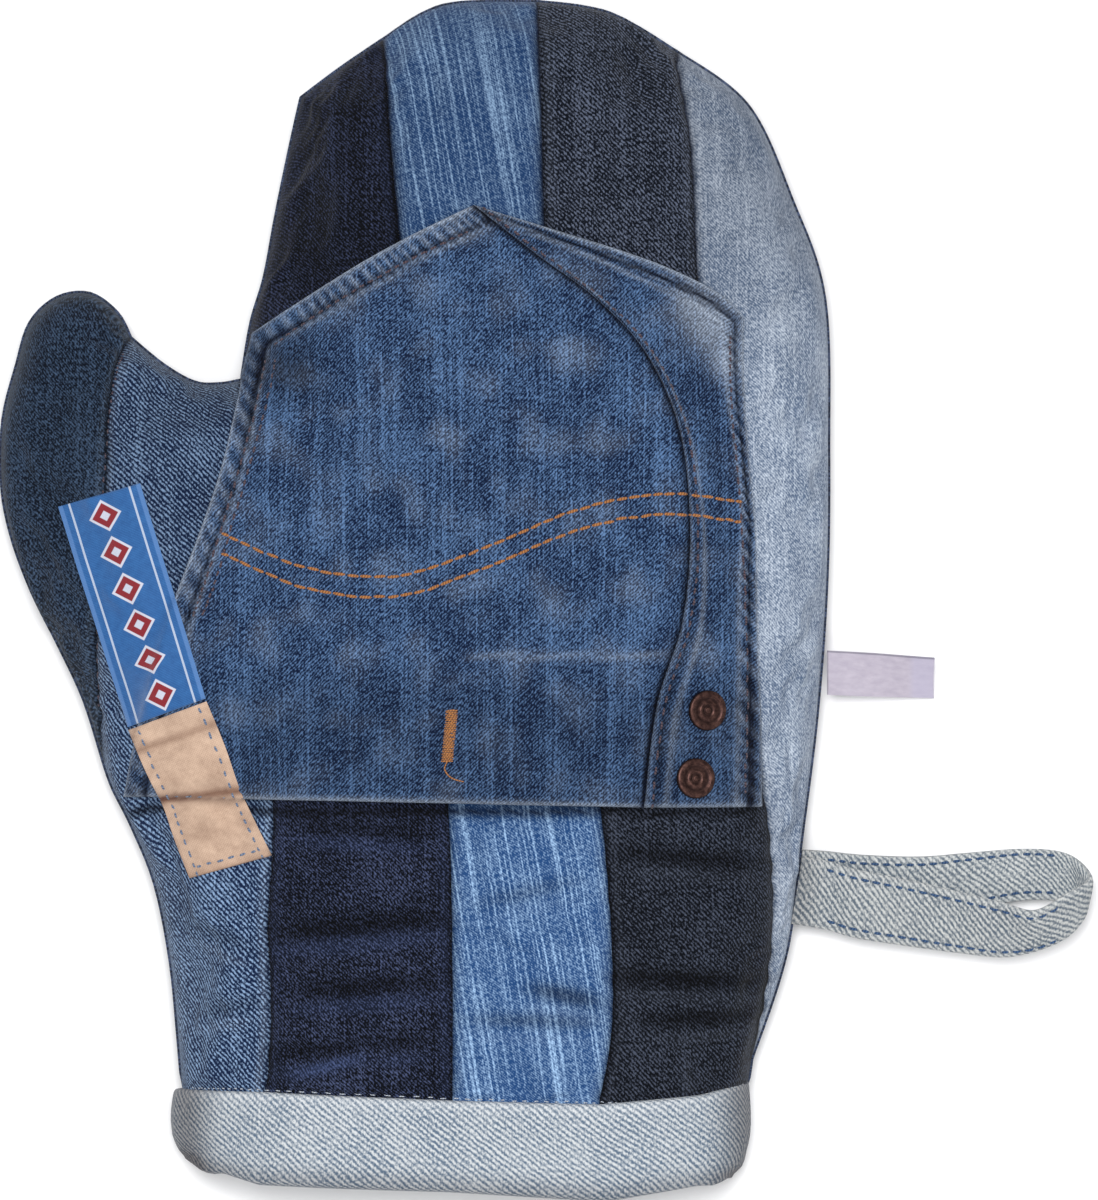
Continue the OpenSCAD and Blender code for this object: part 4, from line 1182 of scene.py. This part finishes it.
def drape(name, tree, left, right, rows, cols, thickness, crease=None):
    v, u = np.linspace(0, 1, rows), np.linspace(0, 1, cols)
    l, r = splineAt(left, v)[:, None], splineAt(right, v)[:, None]
    flat = l + (r - l) * u[None, :, None]
    spots, _ = dropOn(tree, flat)
    z = spots[..., 2] + 0.15
    bridged = np.maximum(blur(z, 16), z)
    z = np.maximum(blur(bridged, 5), z)
    dirtAndShade = np.clip((bridged - spots[..., 2] - 0.6) / 2.5, 0, 1) * 0.5    # painted shade where it bends over a step
    if crease is not None:
        more, shift = crease(flat, v)
        dirtAndShade, z = np.clip(dirtAndShade + more, 0, 1), z + shift
    # distance from the nearest edge: a label is some 22 wide and 60 long
    edge = np.minimum.reduce([np.broadcast_to(a, z.shape) for a in (
        u * 22, (1 - u) * 22, (v * 60)[:, None], ((1 - v) * 60)[:, None])])
    lift = thickness * (0.35 + 0.65 * roundEdge(edge, 0.6))
    base = np.concatenate([flat, z[..., None]], -1)
    top = base + [0, 0, 1] * lift[..., None]
    runV, runU = along(base, 0), along(base, 1)
    real = np.stack([runU, np.repeat(runV[:, [cols // 2]], cols, 1)], -1)
    uv = np.stack([np.broadcast_to(u * woven["width"], z.shape), real[..., 1]], -1)
    ob = closedSlab(name, top, base, uv, {"dirtAndShade": dirtAndShade, "wear": np.exp(-edge / 0.8)})
    return ob, cutOf(base, real)


def creamCreases(flat, v):
    dirtAndShade, shift = 0, 0
    for y, slope, size, height, creaseShade in creamFolds:
        s = (flat[..., 1] - y - slope * (flat[..., 0] + 90)) / size
        # painted shade in the creases
        dirtAndShade = dirtAndShade + creaseShade * np.exp(-s * s)
        shift = shift + height * np.exp(-s * s)
    return dirtAndShade + 0.5 * np.exp(-v[:, None] * 30), shift


layers = treeOf(panelObjects + pocketObjects)
cream, cut = drape("cream_label_cloth", layers, creamLeft, creamRight, 64, 26, woven["thickness"],
                   creamCreases)
finishPiece(cream, "mitt", "label_cotton", finishes["cream"], "cream_label")
layers = treeOf(panelObjects + pocketObjects + [cream])
blueLabel, cut = drape("woven_label_cloth", layers, wovenLeft, wovenRight, 66, 26,
                       woven["thickness"])
finishPiece(blueLabel, "mitt", "woven_label_blue", finishes["woven"], "woven_label")
print("labels done")

# Threads
def tube(centre, normals, width, height, sides=6):    # a stitch along its middle line
    t = unit(np.gradient(centre, axis=0))
    s = unit(np.cross(normals, t))
    up = np.cross(t, s)
    count = len(centre)
    swell = np.sin(np.pi * np.linspace(0.12, 0.88, count))[:, None] ** 0.45
    verts = []
    for a in np.arange(sides) * 2 * np.pi / sides:
        verts.append(centre + s * np.cos(a) * width / 2 * swell
                     + up * np.sin(a) * height / 2 * swell)
    verts = np.stack(verts, 1).reshape(-1, 3)
    faces = [[i * sides + j, i * sides + (j + 1) % sides, (i + 1) * sides + (j + 1) % sides,
              (i + 1) * sides + j] for i in range(count - 1) for j in range(sides)]
    faces += [list(range(sides))[::-1], [(count - 1) * sides + j for j in range(sides)]]
    length = runOf(centre)
    uv = np.stack([np.repeat(length, sides), np.tile(np.arange(sides) * width / sides, count)], -1)
    return verts, faces, uv


threadRng = np.random.default_rng(5)


def stitchesOn(tree, curve, count, fill, width, jitter=0.25, high=0.34):
    out = []
    for i in range(count):
        a, b = i / count, (i + fill) / count
        flat = splineAt(curve, np.linspace(a, b, 7)) + threadRng.normal(0, jitter * 0.35, 2)
        flat += np.linspace(-1, 1, 7)[:, None] * threadRng.normal(0, jitter * 0.3, 2)
        spots, normals = dropOn(tree, flat)
        dip = np.array([-0.42, -0.02, 0.12, 0.16, 0.12, -0.02, -0.42])   # both ends go under
        spots[1:-1] = (spots[:-2] + spots[1:-1] * 2 + spots[2:]) / 4
        out.append(tube(spots + normals * dip[:, None], normals, width, width * high * 2))
    return out


def joinTubes(name, tubes, slotName, finish, *nodes, body="mitt"):
    verts, faces, uvs, start = [], [], [], 0
    for n, (v, f, uv) in enumerate(tubes):
        verts.append(v)
        faces += [[start + i for i in face] for face in f]
        uvs.append(uv + [7.3 * n, 0])
        start += len(v)
    ob = addMesh(name, np.vstack(verts), faces, np.vstack(uvs))
    weld(ob)
    shade(ob, 1.2)
    return finishPiece(ob, body, slotName, finish, *nodes)


def shifted(curve, dx, dy):
    return [[x + dx, y + dy] for x, y in curve]


# Rows of stitches on the mitt, x and y
slopeStitch = [[-70.5, 66], [-55, 76.5], [-37.5, 86.5], [-20, 95]]
sideStitch = [[-72.8, 62], [-76.5, 45], [-82, 25], [-88, 5], [-91.5, -4.5]]
rightStitch = [[51, -50], [51.5, -20], [50, 20], [47.5, 50], [47, 68]]
wave = [[-84, 12], [-62, 3], [-38, 1], [-14, 9], [8, 18], [30, 22], [50, 20]]
seamThread = [[-116.4, -28], [-116.2, 0], [-114.6, 30], [-112.4, 54], [-110, 64]]
bindingRow = [[-92, -126.6], [-73, -126.5], [-24.5, -128.5], [13.5, -129.6], [34, -129.2],
              [49, -126.2]]
# Rows of the pocket: curve, number of stitches, share of the pitch that shows, thread width
pocketRows = [
    (slopeStitch, 24, 0.72, 0.6), (sideStitch, 28, 0.72, 0.6),
    (shifted(sideStitch, 2.6, 0.3), 28, 0.72, 0.6),
    (shifted(bandSeam, 2.2, -0.4), 62, 0.7, 0.65), (rightStitch, 42, 0.7, 0.6),
]
bartack = {"start": (-24.55, -28.6), "step": (-0.047, -0.5), "threads": 27,
           "tail": [[-25.6, -41.5], [-26.4, -43.6], [-24.6, -45.8], [-21.4, -46.8]]}


def bartackTubes(tree):        # threads laid close over one another, and the loose end
    rng = np.random.default_rng(8)
    rise = np.array([0, 0.3, 0.42, 0.45, 0.42, 0.3, 0])[:, None]
    out = []
    for i in range(bartack["threads"]):
        x, y = [a + i * b for a, b in zip(bartack["start"], bartack["step"])]
        flat = np.array([[x - 1.45 + 0.48 * j + rng.normal(0, 0.05), y + rng.normal(0, 0.08)]
                         for j in range(7)])
        spots, normals = dropOn(tree, flat)
        out.append(tube(spots + normals * rise, normals, 0.55, 0.55))
    spots, normals = dropOn(tree, splineAt(bartack["tail"], np.linspace(0, 1, 16)))
    return out + [tube(spots + normals * 0.35, normals, 0.4, 0.4)]


def between(a, b, share):
    return [p + (q - p) * share for p, q in zip(a, b)]


def labelTubes(tree):          # down both sides and along the foot
    out = []
    for inset in (0.11, 0.89):
        side = [between(a, b, inset) for a, b in zip(creamLeft, creamRight)]
        out += stitchesOn(tree, side, 15, 0.6, 0.6)
    foot = [between(creamLeft[0], creamRight[0], share) for share in (0.13, 0.5, 0.87)]
    return out + stitchesOn(tree, shifted(foot, -0.7, 2.2), 6, 0.6, 0.6)


layers = treeOf(panelObjects + pocketObjects)
joinTubes("pocket_topstitching_thread",
          [stitch for row in pocketRows for stitch in stitchesOn(layers, *row)],
          "dark_thread", finishes["dark"], "pocket_topstitching")
joinTubes("ornamental_stitching_thread",
          [stitch for dy in (0, 5.2) for stitch in
           stitchesOn(layers, shifted(wave, 0, dy), 42, 0.99, 0.8, 0.25, 0.42)],
          "orange_thread", finishes["orange"], "ornamental_stitching")
joinTubes("bartack_thread", bartackTubes(layers), "orange_thread", finishes["orange"], "bartack")
joinTubes("panel_seam_stitches", stitchesOn(layers, seamThread, 34, 0.5, 0.5), "dark_thread",
          finishes["dark"], "panel_seam_thread")
joinTubes("binding_stitches", stitchesOn(treeOf(panelObjects), bindingRow, 70, 0.55, 0.3),
          "pale_thread", finishes["pale"], "binding_stitching")
joinTubes("label_stitches", labelTubes(treeOf([cream])), "dark_thread", finishes["grey"],
          "label_stitching")
print("threads done")

# Rivets, each raised and stepped from a disc
rivet = {
    "radius": 5.2, "height": 0.75, "places": [(41.0, -28.5), (38.0, -46.0)],
    # ring after ring towards the middle: width of the ring, step up or down
    "rings": [(0.28, 0.34), (0.42, 0.12), (0.55, 0.0), (0.3, -0.2), (0.55, -0.12), (0.75, 0.02),
              (0.3, 0.14), (0.35, 0.0), (0.35, -0.22), (0.45, 0.0), (0.2, 0.28)],
    # radius and width of the rings where dirt has settled
    "hollows": [(3.15, 0.42), (1.15, 0.3), (5.2, 0.2)],
}


def addRivet(spot, normal):
    bpy.ops.object.select_all(action="DESELECT")
    bpy.ops.mesh.primitive_circle_add(vertices=48, radius=rivet["radius"] * mm, fill_type="NGON")
    ob = bpy.context.object
    bpy.ops.object.mode_set(mode="EDIT")
    bpy.ops.mesh.select_all(action="SELECT")
    bpy.ops.mesh.extrude_region_move(
        TRANSFORM_OT_translate={"value": (0, 0, rivet["height"] * mm)})
    for width, step in rivet["rings"]:
        bpy.ops.mesh.inset(thickness=width * mm, depth=0)
        bpy.ops.transform.translate(value=(0, 0, step * mm))
    bpy.ops.mesh.select_all(action="SELECT")
    bpy.ops.mesh.normals_make_consistent(inside=False)
    bpy.ops.object.mode_set(mode="OBJECT")
    applyModifier(ob, "BEVEL", width=0.09 * mm, segments=2, limit_method="ANGLE", angle_limit=0.35)
    co = np.array([v.co[:] for v in ob.data.vertices])
    r = np.hypot(co[:, 0], co[:, 1]) / mm
    hollow = sum(np.exp(-((r - at) / width) ** 2) for at, width in rivet["hollows"])
    hollow = np.clip(hollow, 0, 1)
    ob.data.attributes.new("hollow", "FLOAT", "POINT").data.foreach_set("value", hollow)
    turn = np.array(Vector((0, 0, 1)).rotation_difference(Vector(normal)).to_matrix())
    placed = co @ turn.T + np.array(spot) * mm
    ob.data.vertices.foreach_set("co", placed.ravel())
    ob.data.update()
    shade(ob, 0.6)
    return ob


around = np.array([(0, 0), (3, 0), (-3, 0), (0, 3), (0, -3)])
spots, _ = dropOn(treeOf(pocketObjects), np.array(rivet["places"])[:, None] + around)
caps = []
for middle, right, left, upper, lower in spots:
    normal = unit(np.cross(right - left, upper - lower))
    caps.append(addRivet((middle + right + left + upper + lower) / 5 + normal * 0.05, normal))
bpy.ops.object.select_all(action="DESELECT")
for ob in caps:
    ob.select_set(True)
bpy.context.view_layer.objects.active = caps[0]
bpy.ops.object.join()
caps[0].name = "rivet_caps_turned"
finishPiece(caps[0], "mitt", "rivet_copper", finishes["copper"], "rivet_caps")
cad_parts["rivet_backs"].data.materials.clear()
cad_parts["rivet_backs"].data.materials.append(finishes["copper"])
print("rivets done")

# Hanging loop: a folded strap
# x, y, z of the edge towards the fingertips and of the other edge, and the thickness
strap = [
    [[66.4, -65, 9.5], [63.4, -82.5, 9.5], 1.1], [[73, -65.5, 7.4], [73, -83, 7.2], 1.6],
    [[82, -66.5, 3.6], [82, -84, 3.4], 2.3], [[97, -67, 2.0], [97, -83.5, 1.9], 2.3],
    [[110, -66, 1.9], [110, -81, 3.2], 2.3], [[123, -65, 2.4], [123, -78.5, 6], 2.3],
    [[133, -65.5, 4.4], [132.5, -78.5, 8], 2.3], [[138.5, -68, 9], [139, -80.5, 10.2], 2.3],
    [[140.8, -72.5, 14.5], [138.5, -84, 13], 2.3], [[135, -76, 19], [134.5, -88, 14], 2.3],
    [[126.5, -80.5, 20.5], [126.5, -91.5, 13.6], 2.3],
    [[118, -78.5, 18.5], [118, -93, 12.4], 2.3], [[105.5, -75.5, 15.5], [106, -91.8, 11.8], 2.3],
    [[92, -72.5, 14], [93, -90, 12], 2.3], [[80, -70, 12.5], [80, -88, 11.9], 2.3],
    [[73, -68, 11.1], [73, -86, 11.1], 1.6], [[66.4, -66.8, 10.6], [63.4, -84.3, 10.6], 1.1],
]
strapLook = {"samples": 150, "across": 14, "edgeRoll": 0.18, "wave": 0.22, "innerDarker": 0.08,
             "outerDarker": 0.22, "cut": 17.5,
             # threads: at which part of the width, and along which parts of the length
             "rows": (0.13, 0.87), "runs": [(0.575, 0.955), (0.05, 0.44)],
             "stitch": 2.1, "pitch": 3.1}


def strapFrame(t):
    a = splineAt([s[0] for s in strap], t)
    b = splineAt([s[1] for s in strap], t)
    thick = splineAt([[s[2]] for s in strap], t)[..., 0]
    tangent = np.gradient((a + b) / 2, axis=0)
    return a, b, thick, unit(np.cross(a - b, tangent))


def buildStrap():
    t = np.linspace(0, 1, strapLook["samples"])
    a, b, thick, n = strapFrame(t)
    w = (1 - np.cos(np.linspace(0, np.pi, strapLook["across"]))) / 2
    half = np.sqrt(np.clip(1 - np.abs(2 * w - 1) ** 5, 0, 1))
    half *= 1 + strapLook["edgeRoll"] * np.abs(2 * w - 1) ** 3    # the edges are thicker
    centre = a[:, None] + (b - a)[:, None] * w[None, :, None]
    run = runOf((a + b) / 2)
    ripples = strapLook["wave"] * np.sin(run[:, None] / 2.6 + 4 * w[None]) * half[None]
    lift = (thick[:, None] / 2 * half[None])[..., None] * n[:, None]
    sway = (ripples * (thick[:, None] / 2.3))[..., None] * n[:, None]
    outer, inner = centre + lift + sway, centre - lift + sway * 0.4
    rings = np.concatenate([outer, inner[:, -2:0:-1]], 1)
    count = rings.shape[1]
    faces = gridFaces(len(t), count, ring=True)
    faces += [list(range(count))[::-1], [(len(t) - 1) * count + j for j in range(count)]]
    around = np.linalg.norm(np.diff(rings, axis=1), axis=2).mean(0)
    acrossRun = np.concatenate([[0], np.cumsum(around)])
    uv = np.stack(np.broadcast_arrays(run[:, None], acrossRun[None]), -1)
    place = np.concatenate([w, w[-2:0:-1]])
    edge = np.exp(-(np.minimum(place, 1 - place) * 17 / 1.1) ** 2)
    wear = np.repeat(edge[None], len(t), 0)
    # one face of the strap darker than the other
    dirtAndShade = np.full_like(wear, strapLook["innerDarker"])
    dirtAndShade[:, :strapLook["across"]] = strapLook["outerDarker"]
    # painted shade where both ends go into the seam
    dirtAndShade += 0.4 * np.exp(-(run / 6) ** 2)[:, None]
    dirtAndShade += 0.35 * np.exp(-((run - run[-1]) / 5) ** 2)[:, None]
    ob = addMesh("hanging_loop_strap", rings.reshape(-1, 3), faces, uv.reshape(-1, 2),
                 {"wear": wear, "dirtAndShade": np.clip(dirtAndShade, 0, 1)})
    weld(ob, 0.01)
    shade(ob, 1.0)
    return ob, run[-1]


loopOb, strapLength = buildStrap()
finishPiece(loopOb, "loop", "reverse_denim", denims["strap"], "hanging_loop")


def strapStitches():
    out = []
    t = np.linspace(0, 1, 400)
    a, b, thick, n = strapFrame(t)
    run = runOf((a + b) / 2)
    for w in strapLook["rows"]:
        line = a + (b - a) * w
        for start, stop in strapLook["runs"]:
            at = run[-1] * start
            while at + 2.4 < run[-1] * stop:
                span = np.linspace(at, at + strapLook["stitch"], 7)
                centre = np.stack([np.interp(span, run, line[:, i]) for i in range(3)], 1)
                normal = unit(np.stack([np.interp(span, run, n[:, i]) for i in range(3)], 1))
                if normal[3, 2] < 0:
                    normal = -normal
                high = np.interp(span, run, thick) / 2 * 1.05
                dip = np.array([-0.35, 0, 0.12, 0.16, 0.12, 0, -0.35])
                out.append(tube(centre + normal * (high + dip)[:, None], normal, 0.75, 0.5))
                at += strapLook["pitch"]
    return out


joinTubes("loop_stitches", strapStitches(), "blue_thread", finishes["blue"], "loop_stitching",
          body="loop")
print("loop done")

# Side tag: a satin ribbon folded in two
def buildTag():
    length, r = sideTag["length"], sideTag["fold"]
    line = [(x, r) for x in np.linspace(0, length - r, 34)]
    line += [(length - r + r * np.sin(a), r * np.cos(a)) for a in np.linspace(0, np.pi, 9)[1:-1]]
    line += [(x, -r) for x in np.linspace(length - r, 0, 34)]
    line = np.array(line)
    run = runOf(line)
    y = np.linspace(-0.5, 0.5, 13) * sideTag["width"]
    droop = np.arcsin(sideTag["reach"] / length)
    x, z = np.repeat(line[:, :1], 13, 1), np.repeat(line[:, 1:], 13, 1)
    z = z + 0.25 * np.sin(x / 5.2 + y[None] / 7) * smoothStep(x / 6) + 0.35 * smoothStep(x / 20)
    z = z + 0.012 * y[None] ** 2 * smoothStep(x / 12)      # its long edges curl up a little
    twist = sideTag["twist"] * smoothStep(x / length)
    wide = y[None] * np.cos(twist) - sideTag["lean"] * x / length
    pts = np.stack([sideTag["axis"][0] + x * np.cos(droop) + z * np.sin(droop),
                    sideTag["axis"][1] + wide,
                    sideTag["axis"][2] - x * np.sin(droop) + z * np.cos(droop)
                    + (y[None] + sideTag["width"] / 2) * np.sin(twist)], -1)
    pts[..., 2] = np.maximum(pts[..., 2], sideTag["thickness"])
    uv = np.stack(np.broadcast_arrays(np.minimum(run, run[-1] - run)[:, None], y[None]), -1)
    ob = addMesh("side_tag_ribbon", pts.reshape(-1, 3), gridFaces(*pts.shape[:2]),
                 uv.reshape(-1, 2))
    thicken(ob, sideTag["thickness"] * 0.7, 0.0)
    return ob, run[-1]


tagOb, ribbonLength = buildTag()
finishPiece(tagOb, "tag", "tag_satin", finishes["satin"], "side_tag")
print("tag done")

# Floor, light and camera
studio = {"floor": 3.0, "camera": 3.0, "frameHeight": 0.312, "keyEnergy": 26, "fillEnergy": 7,
          "world": 0.55}
bpy.ops.object.select_all(action="DESELECT")
bpy.ops.mesh.primitive_plane_add(size=studio["floor"], location=(0, 0, 0))
floor = bpy.context.object
floor.name = "floor"
bpy.ops.object.transform_apply(location=True, rotation=True, scale=True)
floorMat, floorNodes, floorShader = newMaterial("floor", rough=0.9)
dust = floorNodes.noise(floorNodes.add("TexCoord").outputs["Object"], 3.0)
floorNodes.put(floorNodes.mix(dust, rgb(244, 244, 245), rgb(250, 250, 251)),
               floorShader.inputs["Base Color"])
floor.data.materials.append(floorMat)

world = bpy.data.worlds.new("studio")
world.use_nodes = True
world.node_tree.nodes["Background"].inputs["Color"].default_value = (1, 1, 1, 1)
world.node_tree.nodes["Background"].inputs["Strength"].default_value = studio["world"]
bpy.context.scene.world = world


def addLight(name, place, energy, size):
    light = bpy.data.lights.new(name, "AREA")
    light.energy, light.size = energy, size
    ob = bpy.data.objects.new(name, light)
    ob.location = place
    ob.rotation_euler = (-Vector(place)).to_track_quat("-Z", "Y").to_euler()
    bpy.context.scene.collection.objects.link(ob)


addLight("key", (-0.08, 0.22, 1.7), studio["keyEnergy"], 0.6)
addLight("fill", (0.7, -0.9, 1.4), studio["fillEnergy"], 1.2)
cameraData = bpy.data.cameras.new("camera")
cameraData.sensor_fit, cameraData.sensor_height = "VERTICAL", 24
cameraData.lens = 24 * (studio["camera"] - 0.012) / studio["frameHeight"]
cameraData.clip_end = 20
bpy.context.scene.view_settings.view_transform = "Standard"
camera = bpy.data.objects.new("camera", cameraData)
camera.location = (0.0004, -0.0001, studio["camera"])
bpy.context.scene.collection.objects.link(camera)
bpy.context.scene.camera = camera
print("studio done")
